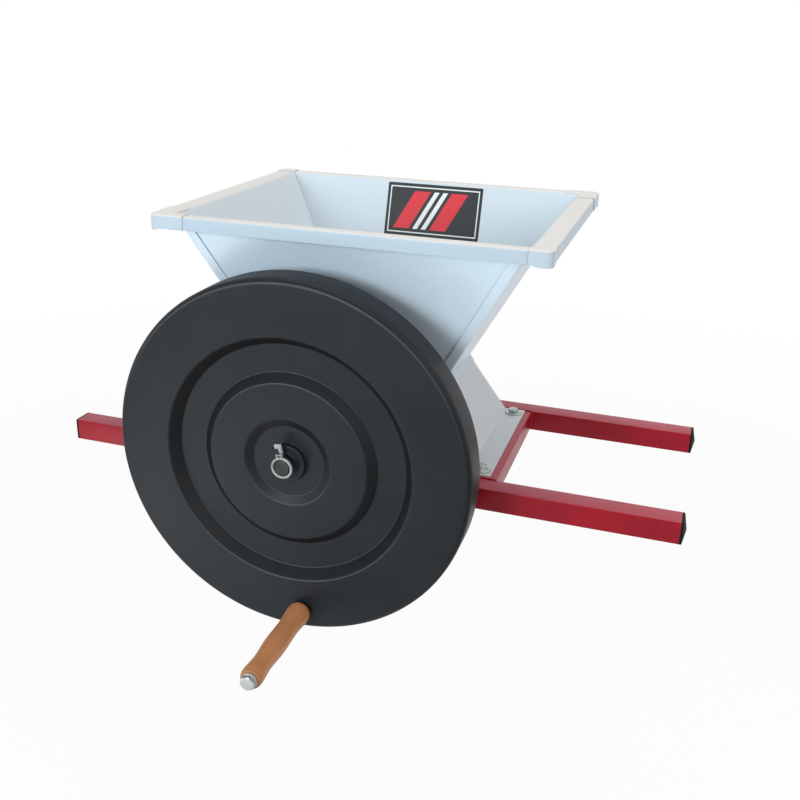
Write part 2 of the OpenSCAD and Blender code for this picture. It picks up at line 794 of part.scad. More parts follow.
// Stop collar behind the rear bush, with a set screw
module collar(x) {
  y0 = bush_end + face_gap;
  color(zinc) difference() {
    sleeve(x, y0, y0 + collar_w, collar_d);
    bar_z(x, y0 + collar_w / 2, shaft_z, shaft_z + collar_d, collar_screw_d + 2 * slip);
  }
}

module collar_screw(x) {
  y = bush_end + face_gap + collar_w / 2;
  color(steel) difference() {
    bar_z(x, y, shaft_z + shaft_d / 2, shaft_z + collar_d / 2 - screw_sink, collar_screw_d);
    translate([x, y, shaft_z + collar_d / 2 - collar_screw_d / 2]) {
      cylinder(h = collar_screw_d, d = collar_screw_d / 2 / cos(30), $fn = 6);
    }
  }
}

// Frame of the flywheel: Z of the children runs back along the shaft from the front face
module fly_frame() {
  translate([drive_x, -fly_front, shaft_z]) rotate([-90, 0, 0]) children();
}

// Half section of the flywheel: stepped face, rounded edge, rim and hub
module fly_section() {
  polygon(section(face_path, fly_wall, 0, len(face_path) - 1));
  intersection() {
    translate([fly_d / 2 - fly_edge_r, fly_edge_r]) difference() {
      circle(fly_edge_r);
      circle(fly_edge_r - fly_wall);
    }
    translate([fly_d / 2 - fly_edge_r, 0]) square(fly_edge_r);
  }
  translate([fly_d / 2 - fly_wall, fly_edge_r]) square([fly_wall, fly_depth - fly_edge_r]);
  hub_step(fly_hub_r, floor_depth, fly_depth);
  hub_step(boss_r, boss_depth, floor_depth);
  hub_step(nose_r, -nose_out, boss_depth);
}

// One step of the flywheel's hub, from the bore to a radius
module hub_step(r, front, rear) {
  translate([fixed_bore / 2, front]) square([r - fixed_bore / 2, rear - front]);
}

// Rib behind the face, from the hub to the rim
module fly_rib() {
  last = len(face_path) - 1;
  rim = (fly_d - fly_wall) / 2;
  rotate([90, 0, 0]) translate([0, 0, -rib_t / 2]) linear_extrude(rib_t) polygon(concat(
    [for (i = [0:last]) mitre(face_path, i, fly_wall / 2)],
    [[rim, fly_edge_r], [rim, rib_depth], [fly_hub_r - past, rib_depth]]
  ));
}

module flywheel() {
  color(black_plastic) difference() {
    union() {
      fly_frame() {
        rotate_extrude() fly_section();
        for (i = [0:fly_ribs - 1]) rotate(-handle_angle + (i + 0.5) * 360 / fly_ribs) fly_rib();
      }
      bar_y(handle_x, handle_z, -fly_front + fly_wall / 2, nut_y, 3 * bolt_d);
    }
    bar_y(handle_x, handle_z, -fly_front - past, nut_y + past, bolt_hole);
    translate([drive_x - dog_d / 2 - slip, dog_y - dog_d / 2 - slip, shaft_z - fly_hub_r - past]) {
      cube([dog_d + 2 * slip, fly_depth, 2 * (fly_hub_r + past)]);
    }
  }
}

module flywheel_spacer() {
  color(zinc) sleeve(drive_x, -fly_rear, -gear_front, spacer_d);
}

// Cross pin in the shaft that turns the flywheel by the slot in its rear hub
module flywheel_dog_pin() {
  color(steel) bar_z(drive_x, dog_y, shaft_z - dog_len / 2, shaft_z + dog_len / 2, dog_d);
}

// Frame of the linch pin: Z runs up the pin, -Y out of the flywheel
module linch_frame() {
  translate([drive_x, linch_y, shaft_z]) rotate([0, -linch_lean, 0]) children();
}

// Pin through the end of the drive shaft, with a flag at its top and a hinge for its ring
module linch_pin() {
  flag_t = 0.86 * linch_d;
  flag_h = 1.1 * linch_d;
  color(zinc) linch_frame() {
    bar_z(0, 0, -linch_down, linch_up, linch_d);
    translate([-1.15 * linch_d, -flag_t / 2, linch_up - flag_h]) cube([1.3 * linch_d, flag_t, flag_h]);
    translate([-block_w / 2, hinge_y, hinge_z - hinge_d / 2]) cube([block_w, -hinge_y, hinge_d]);
    translate([-block_w / 2 - eye_w - hinge_stub, hinge_y, hinge_z]) rotate([0, 90, 0]) {
      cylinder(h = block_w + 2 * (eye_w + hinge_stub), d = hinge_d);
    }
  }
}

// Sprung ring that snaps round the shaft's end, hinged on the linch pin
module linch_ring() {
  inner_d = shaft_d + 2 * ring_gap;
  web = hinge_z - (inner_d + ring_d) / 4;
  eye_x = block_w / 2 + face_gap;
  color(zinc) linch_frame() difference() {
    union() {
      translate([0, hinge_y, 0]) along_y(-ring_t / 2, ring_t / 2) difference() {
        circle(d = ring_d);
        circle(d = inner_d);
      }
      for (x = [-eye_x - eye_w, eye_x]) translate([x, hinge_y, hinge_z]) {
        rotate([0, 90, 0]) cylinder(h = eye_w, d = eye_d);
        translate([0, -ring_t / 2, -web]) cube([eye_w, ring_t, web]);
      }
    }
    translate([-ring_d / 2, hinge_y, hinge_z]) rotate([0, 90, 0]) {
      cylinder(h = ring_d, d = hinge_d + 2 * running);
    }
  }
}

// Long hexagon bolt that the grip turns on
module handle_bolt() {
  color(zinc) {
    bar_y(handle_x, handle_z, head_y, bolt_end_y, bolt_d);
    hex_y(handle_x, handle_z, head_y - bolt_head, head_y, bolt_af);
  }
}

// Washers under the bolt's head and against the flywheel
module handle_washers() {
  color(zinc) for (y = [head_y, -fly_front - washer_t]) difference() {
    bar_y(handle_x, handle_z, y, y + washer_t, washer_d);
    bar_y(handle_x, handle_z, y - past, y + washer_t + past, bolt_hole);
  }
}

module handle_nut() {
  color(zinc) difference() {
    hex_y(handle_x, handle_z, nut_y, nut_y + nut_t, bolt_af);
    bar_y(handle_x, handle_z, nut_y - past, nut_y + nut_t + past, bolt_hole);
  }
}

// Stations along the grip as share of its length and diameter, joined by half cosine waves
grip_stations = [
  [0, grip_base_d * 0.8], [0.06, grip_base_d], [0.27, grip_waist_d], [0.52, grip_swell_d],
  [0.78, grip_neck_d], [0.95, grip_tip_d], [1, grip_tip_d * 0.86]
];
grip_steps = 6;
function ease(f) = (1 - cos(180 * f)) / 2;
function round_end(f) = sqrt(1 - pow(1 - f, 2));
function blend(i, f) = i == 0 ? round_end(f) : i == len(grip_stations) - 2 ? 1 - round_end(1 - f) : ease(f);
function grip_point(i, f) = [
  (grip_stations[i][1] + (grip_stations[i + 1][1] - grip_stations[i][1]) * blend(i, f)) / 2,
  (grip_stations[i][0] + (grip_stations[i + 1][0] - grip_stations[i][0]) * f) * grip_len
];

// Turned wooden grip with a swell in its middle and a flared tip
module handle_grip() {
  bore = bolt_d / 2 + running;
  last = len(grip_stations) - 2;
  outline = concat(
    [[bore, 0]],
    [for (i = [0:last], k = [0:grip_steps - 1]) grip_point(i, k / grip_steps)],
    [grip_point(last, 1), [bore, grip_len]]
  );
  color(wood) translate([handle_x, grip_base_y, handle_z]) rotate([90, 0, 0]) {
    rotate_extrude() polygon(outline);
  }
}

rail(-rail_y);  // front_rail
rail(rail_y);  // rear_rail
cross_rail(-1);  // left_cross_rail
cross_rail(1);  // right_cross_rail
end_cap(-1, -rail_y);  // front_left_end_cap
end_cap(1, -rail_y);  // front_right_end_cap
end_cap(-1, rail_y);  // rear_left_end_cap
end_cap(1, rail_y);  // rear_right_end_cap
hopper_side(-1);  // hopper_left_panel
hopper_side(1);  // hopper_right_panel
hopper_end(-1);  // hopper_front_panel
hopper_end(1);  // hopper_rear_panel
rim_corner(-1, -1);  // front_left_rim_corner
rim_corner(1, -1);  // front_right_rim_corner
rim_corner(-1, 1);  // rear_left_rim_corner
rim_corner(1, 1);  // rear_right_rim_corner
casing_side(-1);  // casing_left_panel
casing_side(1);  // casing_right_panel
bearing_plate(-1);  // front_bearing_plate
bearing_plate(1);  // rear_bearing_plate
flange_bolts();
flange_washers();
flange_nuts();
neck_rivets();
bush(drive_x, -1);  // front_drive_bush
bush(drive_x, 1);  // rear_drive_bush
bush(driven_x, -1);  // front_driven_bush
bush(driven_x, 1);  // rear_driven_bush
bush_screws();
bush_nuts();
drive_shaft();
roller(drive_x);  // drive_roller
roller_pins(drive_x);  // drive_roller_pins
gear(drive_x, 0);  // drive_gear
gear_pin(drive_x);  // drive_gear_pin
gear_spacer(drive_x);  // drive_spacer
collar(drive_x);  // drive_collar
collar_screw(drive_x);  // drive_collar_screw
driven_shaft();
roller(driven_x);  // driven_roller
roller_pins(driven_x);  // driven_roller_pins
gear(driven_x, 180 + 180 / gear_teeth);  // driven_gear
gear_pin(driven_x);  // driven_gear_pin
gear_spacer(driven_x);  // driven_spacer
collar(driven_x);  // driven_collar
collar_screw(driven_x);  // driven_collar_screw
flywheel();
flywheel_spacer();
flywheel_dog_pin();
linch_pin();
linch_ring();
handle_bolt();
handle_washers();
handle_nut();
handle_grip();
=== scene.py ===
"""Dressed model of a hand-cranked grape crusher.

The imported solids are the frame. This script lays bent and enamelled sheet, painted tube, weld beads,
moulded plastic, turned wood and plated fasteners over them, and gives every surface its finish.
Lengths are in millimetres, in the solids' own frame, and become metres when a mesh is made.
"""
import logging
from dataclasses import dataclass
from enum import Enum
from math import cos, pi, radians, sin

import bmesh
import bpy
import numpy as np
from mathutils import Matrix, Vector


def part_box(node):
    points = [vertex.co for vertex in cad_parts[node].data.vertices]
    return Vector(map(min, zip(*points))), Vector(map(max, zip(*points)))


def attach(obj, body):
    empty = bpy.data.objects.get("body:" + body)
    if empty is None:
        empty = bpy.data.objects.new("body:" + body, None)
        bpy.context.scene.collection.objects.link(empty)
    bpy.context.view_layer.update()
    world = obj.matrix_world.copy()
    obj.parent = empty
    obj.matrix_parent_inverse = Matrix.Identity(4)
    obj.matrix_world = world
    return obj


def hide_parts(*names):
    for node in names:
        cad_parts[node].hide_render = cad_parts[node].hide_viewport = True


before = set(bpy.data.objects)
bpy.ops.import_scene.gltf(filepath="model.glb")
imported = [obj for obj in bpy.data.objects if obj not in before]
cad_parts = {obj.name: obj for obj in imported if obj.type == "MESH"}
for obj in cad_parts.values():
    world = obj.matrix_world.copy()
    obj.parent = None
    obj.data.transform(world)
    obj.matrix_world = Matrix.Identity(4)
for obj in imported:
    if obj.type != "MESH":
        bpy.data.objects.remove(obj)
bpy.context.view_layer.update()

MM = 0.001
LOG = logging.getLogger("crusher")

Colour = tuple[float, float, float, float]
WHITE: Colour = (1.0, 1.0, 1.0, 1.0)


class Body(Enum):
    """Bodies that the pieces move with."""

    FRAME = "frame"
    DRIVE = "drive_train"
    RING = "linch_ring"
    GRIP = "grip"


class Slot(Enum):
    """Material slots."""

    HOPPER = "hopper_enamel"
    RIM = "rim_enamel"
    CASING = "casing_enamel"
    FRAME = "frame_paint"
    CAP = "cap_plastic"
    FLYWHEEL = "flywheel_plastic"
    ZINC = "zinc_plate"
    SHAFT = "shaft_steel"
    ROLLER = "roller_aluminium"
    NYLON = "nylon"
    WOOD = "grip_wood"


def srgb(red: float, green: float, blue: float) -> Colour:
    """Linear colour of an 8-bit display colour, by the sRGB curve.

    Args:
        red, green, blue: Display values from 0 to 255.

    Returns:
        Linear red, green, blue and an alpha of 1.
    """
    share = np.array([red, green, blue]) / 255.0
    linear = np.where(share <= 0.04045, share / 12.92, ((share + 0.055) / 1.055) ** 2.4)
    return (*linear.tolist(), 1.0)


@dataclass(frozen=True)
class Pattern:
    """Fractal noise on object coordinates.

    Its fields are features per metre, octaves, their roughness, the range over which it rises from 0 to 1
    or None to leave it as it is, its weight, and the stretch and turn of its coordinates.
    """

    scale: float
    detail: float
    rough: float
    rise: tuple[float, float] | None = None
    share: float = 1.0
    stretch: tuple[float, float, float] = (1.0, 1.0, 1.0)
    turn: tuple[float, float, float] = (0.0, 0.0, 0.0)


@dataclass(frozen=True)
class Relief:
    """Depth of a bump in millimetres, its strength, and the radius that rounds sharp edges, or 0."""

    depth: float
    strength: float
    soften: float = 0.0


# Shader expressions


class Sock:
    """A shader output that grows Math nodes when it stands in an expression."""

    def __init__(self, shader: "Shader", socket: bpy.types.NodeSocket) -> None:
        """Wraps a node's output socket of a shader."""
        self.shader = shader
        self.socket = socket

    def math(self, operation: str, first: "Sock | float", second: "Sock | float") -> "Sock":
        """Adds one Math node for two operands."""
        return self.shader.make("ShaderNodeMath", {"operation": operation}, {0: first, 1: second})

    def __add__(self, other: "Sock | float") -> "Sock":
        """Sum."""
        return self.math("ADD", self, other)

    __radd__ = __add__

    def __sub__(self, other: "Sock | float") -> "Sock":
        """Difference."""
        return self.math("SUBTRACT", self, other)

    def __rsub__(self, other: float) -> "Sock":
        """Difference from a number."""
        return self.math("SUBTRACT", other, self)

    def __mul__(self, other: "Sock | float") -> "Sock":
        """Product."""
        return self.math("MULTIPLY", self, other)

    __rmul__ = __mul__

    def __truediv__(self, other: "Sock | float") -> "Sock":
        """Quotient."""
        return self.math("DIVIDE", self, other)

    def __pow__(self, other: "Sock | float") -> "Sock":
        """Power."""
        return self.math("POWER", self, other)

    def __gt__(self, other: "Sock | float") -> "Sock":
        """1 where this is greater, else 0."""
        return self.math("GREATER_THAN", self, other)

    def __lt__(self, other: "Sock | float") -> "Sock":
        """1 where this is less, else 0."""
        return self.math("LESS_THAN", self, other)

    def __abs__(self) -> "Sock":
        """Size without sign."""
        return self.math("ABSOLUTE", self, 0.0)

    def sine(self) -> "Sock":
        """Sine of the value in radians."""
        return self.math("SINE", self, 0.0)

    def root(self) -> "Sock":
        """Square root."""
        return self.math("SQRT", self, 0.0)

    def step(self, low: float, high: float) -> "Sock":
        """Smooth rise from 0 at low to 1 at high."""
        settings = {"interpolation_type": "SMOOTHSTEP"}
        return self.shader.make("ShaderNodeMapRange", settings, {0: self, 1: low, 2: high})


class Shader:
    """A material's node tree, with the few node patterns that the finishes share."""

    seam_rise: tuple[float, float] = (0.42, 0.93)
    seam_samples: int = 8
    edge_rise: tuple[float, float] = (0.01, 0.22)
    edge_samples: int = 6

    def __init__(self, name: str, owner: bpy.types.World | None = None) -> None:
        """Starts an empty material, or empties a world's tree.

        Args:
            name: The material's name.
            owner: The world, or None for a material.
        """
        self.material = owner or bpy.data.materials.new(name)
        self.material.use_nodes = True
        self.tree = self.material.node_tree
        self.tree.nodes.clear()

    def seen(self) -> Sock:
        """1 for rays that the camera, gloss or glass send, else 0."""
        rays = [self.make("ShaderNodeLightPath", out=name)
                for name in ("Is Camera Ray", "Is Glossy Ray", "Is Transmission Ray")]
        return (rays[0] + rays[1] + rays[2]) > 0.5

    def seams(self, reach: float) -> Sock:
        """Painted shade mask by ambient occlusion: from 0 on open faces towards 1 in seams and corners,
        within a reach in millimetres.
        """
        bare = self.make("ShaderNodeAmbientOcclusion", {"samples": self.seam_samples},
                         {"Distance": reach * MM}, out="AO")
        return 1 - bare.step(*self.seam_rise)

    def make(self, kind: str, settings: dict | None = None, sockets: dict | None = None,
             out: int | str = 0) -> Sock:
        """Adds any node.

        Args:
            kind: The node's type.
            settings: Properties, which are set first.
            sockets: Values or links for its inputs, by name or index.
            out: The output that is wrapped.

        Returns:
            The wrapped output.
        """
        node = self.tree.nodes.new(kind)
        for key, value in (settings or {}).items():
            setattr(node, key, value)
        for key, value in (sockets or {}).items():
            if isinstance(value, Sock):
                self.tree.links.new(value.socket, node.inputs[key])
            else:
                node.inputs[key].default_value = value
        return Sock(self, node.outputs[out] if len(node.outputs) else None)

    def place(self, stretch: tuple[float, float, float] = (1, 1, 1), centre: Vector = Vector(),
              turn: tuple[float, float, float] = (0, 0, 0)) -> Sock:
        """Object coordinates about a centre, stretched along their axes.

        Args:
            stretch: Factor along each axis.
            centre: Point in metres that becomes the origin.
            turn: Turn about each axis in radians.

        Returns:
            The mapped vector.
        """
        spot = self.make("ShaderNodeTexCoord", out="Object")
        moved = self.make("ShaderNodeVectorMath", {"operation": "SUBTRACT"}, {0: spot, 1: centre})
        return self.make("ShaderNodeMapping", {"vector_type": "POINT"},
                         {"Vector": moved, "Rotation": turn, "Scale": stretch})

    def part(self, vector: Sock, index: int) -> Sock:
        """One coordinate of a vector."""
        return self.make("ShaderNodeSeparateXYZ", sockets={0: vector}, out=index)

    def axis(self, index: int, centre: Vector = Vector()) -> Sock:
        """One object coordinate in metres, counted from a centre."""
        return self.part(self.place(centre=centre), index)

    def facing(self, index: int) -> Sock:
        """One part of the surface's direction, from -1 to 1."""
        return self.part(self.make("ShaderNodeNewGeometry", out="Normal"), index)

    def noise(self, pattern: Pattern) -> Sock:
        """Noise from 0 to 1, cut to the pattern's range and weighted by its share.

        Args:
            pattern: The pattern.

        Returns:
            Its value.
        """
        sockets = {"Vector": self.place(pattern.stretch, turn=pattern.turn), "Scale": pattern.scale,
                   "Detail": pattern.detail, "Roughness": pattern.rough}
        value = self.make("ShaderNodeTexNoise", {"noise_dimensions": "3D"}, sockets)
        value = value.step(*pattern.rise) if pattern.rise else value
        return value if pattern.share == 1.0 else value * pattern.share

    def mix(self, share: Sock | float, first: Sock | Colour, second: Sock | Colour) -> Sock:
        """Blends from a first colour to a second."""
        settings = {"data_type": "RGBA", "clamp_factor": True}
        return self.make("ShaderNodeMix", settings, {0: share, 6: first, 7: second}, out=2)

    def soft_normal(self, radius: float) -> Sock:
        """Normals averaged over a radius in millimetres, which rounds off sharp edges."""
        return self.make("ShaderNodeBevel", {"samples": self.edge_samples}, {"Radius": radius * MM})

    def edges(self, radius: float) -> Sock:
        """Rises from 0 on flat faces towards 1 at edges, by how far averaged normals turn away.

        Args:
            radius: Reach in millimetres.

        Returns:
            The value.
        """
        normal = self.make("ShaderNodeNewGeometry", out="Normal")
        dot = self.make("ShaderNodeVectorMath", {"operation": "DOT_PRODUCT"},
                        {0: self.soft_normal(radius), 1: normal}, out="Value")
        return (1 - dot).step(*self.edge_rise)

    def bump(self, height: Sock, relief: Relief) -> Sock:
        """Normal of a height.

        Args:
            height: The height's value.
            relief: Depth of one unit of height, strength and softening.

        Returns:
            The bumped normal.
        """
        sockets = {"Height": height, "Distance": relief.depth * MM, "Strength": relief.strength}
        if relief.soften:
            sockets["Normal"] = self.soft_normal(relief.soften)
        return self.make("ShaderNodeBump", sockets=sockets)

    def finish(self, constants: dict[str, float | Colour], **varying: Sock) -> bpy.types.Material:
        """Joins the surface shader to the output.

        Args:
            constants: Plain values of the surface shader's sockets.
            varying: Links for Base_Color, Roughness, Metallic, Coat_Weight or Normal.

        Returns:
            The finished material.
        """
        links = {key.replace("_", " "): value for key, value in varying.items()}
        surface = self.make("ShaderNodeBsdfPrincipled", sockets={**constants, **links})
        self.make("ShaderNodeOutputMaterial", sockets={"Surface": surface})
        return self.material


# Finishes


@dataclass(frozen=True)
class Finish:
    """A surface finish that belongs to one slot."""

    name: str
    slot: Slot

    def material(self) -> bpy.types.Material:
        """The finish's material, made once."""
        return bpy.data.materials.get(self.name) or self.build(Shader(self.name))

    def build(self, shader: Shader) -> bpy.types.Material:
        """Fills the shader; each kind of finish has its own."""
        raise NotImplementedError


@dataclass(frozen=True)
class Enamel(Finish):
    """Sprayed and baked enamel on sheet: orange peel, faint clouding, dulled scuffs, thin edges.

    Its rim is the outer corner of the hopper's rim, from which painted warm light on the rim's top and
    painted shade on the lips are placed. The finish can also paint shade into seams and corners and onto
    faces that look up.
    """

    colour: Colour
    shade: Colour
    rim: tuple[float, float, float] = (0.0, 0.0, 0.0)
    # painted light: a warm tint on the rim's top face, standing in for warm light from above
    rim_top_painted_light: Colour | None = None
    rim_depths: tuple[float, float] = (2.4, 0.2)
    # painted shade: a darker tint on the rim's drop and outer strips
    lip_painted_shade: Colour | None = None
    lip_insets: tuple[float, float] = (12.0, 9.0)
    lip_fade: float = 4.0
    # painted shade: faces that look up get a darker, warmer tint, standing in for warm light from above
    upward_painted_shade: Colour | None = None
    upward_shade_rise: tuple[float, float] = (0.1, 0.4)
    upward_shade_share: float = 0.85
    # painted shade: colour laid into seams, corners and gaps between parts by ambient occlusion
    seam_shade: Colour = (0.10, 0.12, 0.14, 1.0)
    seam_shade_share: float = 0.3
    seam_shade_reach: float = 2.2
    worn_colour: Colour = srgb(150, 152, 154)
    worn_share: float = 0.22
    worn_rough: float = 0.12
    worn_reach: float = 0.9
    speck_colour: Colour = srgb(120, 122, 124)
    rough: float = 0.32
    specular: float = 0.25
    clouds: Pattern = Pattern(7.0, 4.0, 0.6, (0.36, 0.68), 0.55)
    specks: Pattern = Pattern(420.0, 2.0, 0.7, (0.71, 0.76), 0.10)
    wear: Pattern = Pattern(160.0, 3.0, 0.7, (0.48, 0.72))
    scuffs: Pattern = Pattern(34.0, 5.0, 0.7, (0.52, 0.74), 0.10, (1.0, 0.25, 2.2))
    peel: Pattern = Pattern(620.0, 2.0, 0.45)
    waves: Pattern = Pattern(90.0, 2.0, 0.4, share=1.8)
    relief: Relief = Relief(0.05, 0.35, 0.5)

    def build(self, shader: Shader) -> bpy.types.Material:
        """Clouds the colour, paints shade and light, scuffs the gloss, thins the coat at edges and ripples
        the surface.

        Args:
            shader: The empty shader.

        Returns:
            The material.
        """
        colour = shader.mix(shader.noise(self.clouds), self.colour, self.shade)
        # painted shade: a darker, warmer tint on faces that look up, by their world direction
        if self.upward_painted_shade:
            inner = shader.facing(2).step(*self.upward_shade_rise)
            colour = shader.mix(inner * self.upward_shade_share, colour, self.upward_painted_shade)
        # painted shade: the rim's drop and outer strips darken, beyond the insets from the rim's corner
        if self.lip_painted_shade:
            starts = [self.rim[i] - inset for i, inset in enumerate(self.lip_insets)]
            outside = [abs(shader.axis(i)).step(start * MM, (start + self.lip_fade) * MM)
                       for i, start in enumerate(starts)]
            colour = shader.mix(outside[0] + outside[1], colour, self.lip_painted_shade)
        # painted light: the rim's top face takes a warm tint that stands in for warm light from above
        if self.rim_top_painted_light:
            top = shader.axis(2).step(*((self.rim[2] - depth) * MM for depth in self.rim_depths))
            colour = shader.mix(top, colour, self.rim_top_painted_light)
        colour = shader.mix(shader.noise(self.specks), colour, self.speck_colour)
        # painted shade: ambient occlusion darkens seams, corners and gaps between parts
        colour = shader.mix(shader.seams(self.seam_shade_reach) * self.seam_shade_share, colour, self.seam_shade)
        worn = shader.edges(self.worn_reach) * shader.noise(self.wear)
        colour = shader.mix(worn * self.worn_share, colour, self.worn_colour)
        rough = self.rough + shader.noise(self.scuffs) + worn * self.worn_rough
        height = shader.noise(self.peel) + shader.noise(self.waves)
        return shader.finish({"Specular IOR Level": self.specular}, Base_Color=colour, Roughness=rough,
                             Normal=shader.bump(height, self.relief))


@dataclass(frozen=True)
class TubePaint(Finish):
    """Glossy frame paint over square tube, a little thin along the corners and at the welds."""

    colour: Colour
    deep: Colour
    bare: Colour
    # dust and painted sheen: a pale pink that upward faces lighten towards, partly a painted reflection of
    # the bright surround
    dust_colour: Colour = srgb(224, 134, 152)
    dust_and_sheen_rise: tuple[float, float] = (0.6, 0.95)
    dust_and_sheen_least: float = 0.16
    worn_share: float = 0.35
    worn_rough: float = 0.2
    worn_reach: float = 1.2
    rough: float = 0.26
    specular: float = 0.23
    clouds: Pattern = Pattern(16.0, 4.0, 0.6, (0.32, 0.70))
    wear: Pattern = Pattern(110.0, 4.0, 0.75, (0.50, 0.66))
    chips: Pattern = Pattern(230.0, 2.0, 0.8, (0.735, 0.75), 0.5)
    dust: Pattern = Pattern(24.0, 4.0, 0.6, share=0.14)
    streaks: Pattern = Pattern(60.0, 3.0, 0.6, share=0.16, stretch=(0.12, 1.0, 1.0))
    peel: Pattern = Pattern(520.0, 2.0, 0.5)
    waves: Pattern = Pattern(120.0, 2.0, 0.5)
    relief: Relief = Relief(0.06, 0.4, 0.4)

    def build(self, shader: Shader) -> bpy.types.Material:
        """Clouds the red, wears it at edges to primer, lays dust and a painted pale sheen on its upper faces
        and keeps a wet gloss.

        Args:
            shader: The empty shader.

        Returns:
            The material.
        """
        colour = shader.mix(shader.noise(self.clouds), self.deep, self.colour)
        worn = shader.edges(self.worn_reach) * shader.noise(self.wear)
        colour = shader.mix(worn * self.worn_share, colour, self.bare)
        colour = shader.mix(shader.noise(self.chips), colour, self.bare)
        # dust and painted sheen: faces that look up lighten everywhere a little, as a painted reflection, and
        # more in dusty clouds
        dust = shader.facing(2).step(*self.dust_and_sheen_rise) * (self.dust_and_sheen_least + shader.noise(self.dust))
        colour = shader.mix(dust, colour, self.dust_colour)
        rough = self.rough + shader.noise(self.streaks) + worn * self.worn_rough
        height = shader.noise(self.peel) + shader.noise(self.waves)
        return shader.finish({"Specular IOR Level": self.specular}, Base_Color=colour, Roughness=rough,
                             Normal=shader.bump(height, self.relief))


@dataclass(frozen=True)
class Plastic(Finish):
    """Moulded black plastic: fine grain, polished edges, pale clouds, painted shade and highlights between
    its steps.
    """

    colour: Colour
    pale: Colour
    rough: float = 0.42
    specular: float = 0.2
    # switches on the painted shade and painted highlights of a wheel's steps
    painted_step_shading: bool = False
    # painted shade: near-black colour laid on the slopes between steps
    painted_slope_shade: Colour = (0.0015, 0.0018, 0.002, 1.0)
    slope_rise: tuple[float, float] = (0.30, 0.45)
    slope_fall: tuple[float, float] = (0.84, 0.95)
    slope_shade_share: float = 0.85
    # painted highlight: pale colour laid on the shoulders of the steps that face up
    painted_highlight: Colour = srgb(92, 97, 100)
    highlight_rise: tuple[float, float] = (0.86, 0.95)
    highlight_fall: tuple[float, float] = (0.985, 0.998)
    highlight_share: float = 0.42
    upper_rise: tuple[float, float] = (0.0, 0.3)
    upper_share: float = 0.4
    cloud_share: float = 0.30
    cloud_rough: float = 0.07
    rubbed_share: float = 0.35
    rubbed_rough: float = 0.08
    rubbed_reach: float = 1.4
    clouds: Pattern = Pattern(9.0, 5.0, 0.62, (0.35, 0.72))
    rubbing: Pattern = Pattern(70.0, 3.0, 0.7, (0.35, 0.7))
    scratches: Pattern = Pattern(46.0, 6.0, 0.75, (0.63, 0.70), 0.05, (1.0, 1.0, 7.0), (0.0, 0.5, 0.0))
    grain: Pattern = Pattern(900.0, 2.0, 0.6)
    coarse_grain: Pattern = Pattern(270.0, 2.0, 0.5, share=0.6)
    relief: Relief = Relief(0.035, 0.45, 0.6)

    def build(self, shader: Shader) -> bpy.types.Material:
        """Lightens worn edges and dusty clouds over a fine moulded grain.

        Args:
            shader: The empty shader.

        Returns:
            The material.
        """
        cloud = shader.noise(self.clouds)
        colour = shader.mix(cloud * self.cloud_share, self.colour, self.pale)
        if self.painted_step_shading:
            # painted shade on the wheel's slopes and painted highlights on its shoulders
            colour = self.stepped(shader, colour)
        rubbed = shader.edges(self.rubbed_reach) * shader.noise(self.rubbing)
        colour = shader.mix(rubbed * self.rubbed_share, colour, self.pale)
        rough = self.rough + cloud * self.cloud_rough - rubbed * self.rubbed_rough
        rough = rough + shader.noise(self.scratches)
        height = shader.noise(self.grain) + shader.noise(self.coarse_grain)
        return shader.finish({"Specular IOR Level": self.specular}, Base_Color=colour, Roughness=rough,
                             Normal=shader.bump(height, self.relief))

    def stepped(self, shader: Shader, colour: Sock) -> Sock:
        """Paints shade onto the slopes between a wheel's steps and paints highlights onto their upper
        shoulders.

        A face's level is the size of its direction along Y: 1 on the wheel's flats and less on a slope.
        Faces that look up get less painted shade, and only they get the painted highlight.

        Args:
            shader: The shader.
            colour: The colour so far.

        Returns:
            The new colour.
        """
        level = abs(shader.facing(1))
        upper = shader.facing(2).step(*self.upper_rise)
        # painted shade: slopes between the steps darken, less where they face up
        steep = level.step(*self.slope_rise) * (1 - level.step(*self.slope_fall))
        colour = shader.mix(steep * (self.slope_shade_share - upper * self.upper_share), colour, self.painted_slope_shade)
        # painted highlight: a pale band on the shoulders of the steps that face up
        shoulder = level.step(*self.highlight_rise) * (1 - level.step(*self.highlight_fall))
        return shader.mix(shoulder * upper * self.highlight_share, colour, self.painted_highlight)


@dataclass(frozen=True)
class Metal(Finish):
    """Bare or plated metal with brushed streaks, tarnish clouds and bright edges."""

    colour: Colour
    tarnish: Colour
    rough: float = 0.28
    pits: float = 0.0
    tarnish_share: float = 0.65
    tarnish_rough: float = 0.14
    bright: Colour = srgb(236, 236, 232)
    bright_share: float = 0.35
    bright_rough: float = 0.06
    bright_reach: float = 0.5
    streak_rough: float = 0.12
    clouds: Pattern = Pattern(55.0, 5.0, 0.65, (0.38, 0.72))
    streaks: Pattern = Pattern(260.0, 3.0, 0.6)
    pitting: Pattern = Pattern(700.0, 3.0, 0.6)
    relief: Relief = Relief(0.02, 0.5, 0.35)

    def build(self, shader: Shader) -> bpy.types.Material:
        """Mixes tarnish into the metal, roughens it with streaks and brightens its edges.

        Args:
            shader: The empty shader.

        Returns:
            The material.
        """
        cloud = shader.noise(self.clouds)
        colour = shader.mix(cloud * self.tarnish_share, self.colour, self.tarnish)
        edge = shader.edges(self.bright_reach)
        colour = shader.mix(edge * self.bright_share, colour, self.bright)
        streak = shader.noise(self.streaks)
        rough = self.rough + cloud * self.tarnish_rough + streak * self.streak_rough
        rough = rough - edge * self.bright_rough
        height = shader.noise(self.pitting) * self.pits + streak
        return shader.finish({"Metallic": 1.0}, Base_Color=colour, Roughness=rough,
                             Normal=shader.bump(height, self.relief))


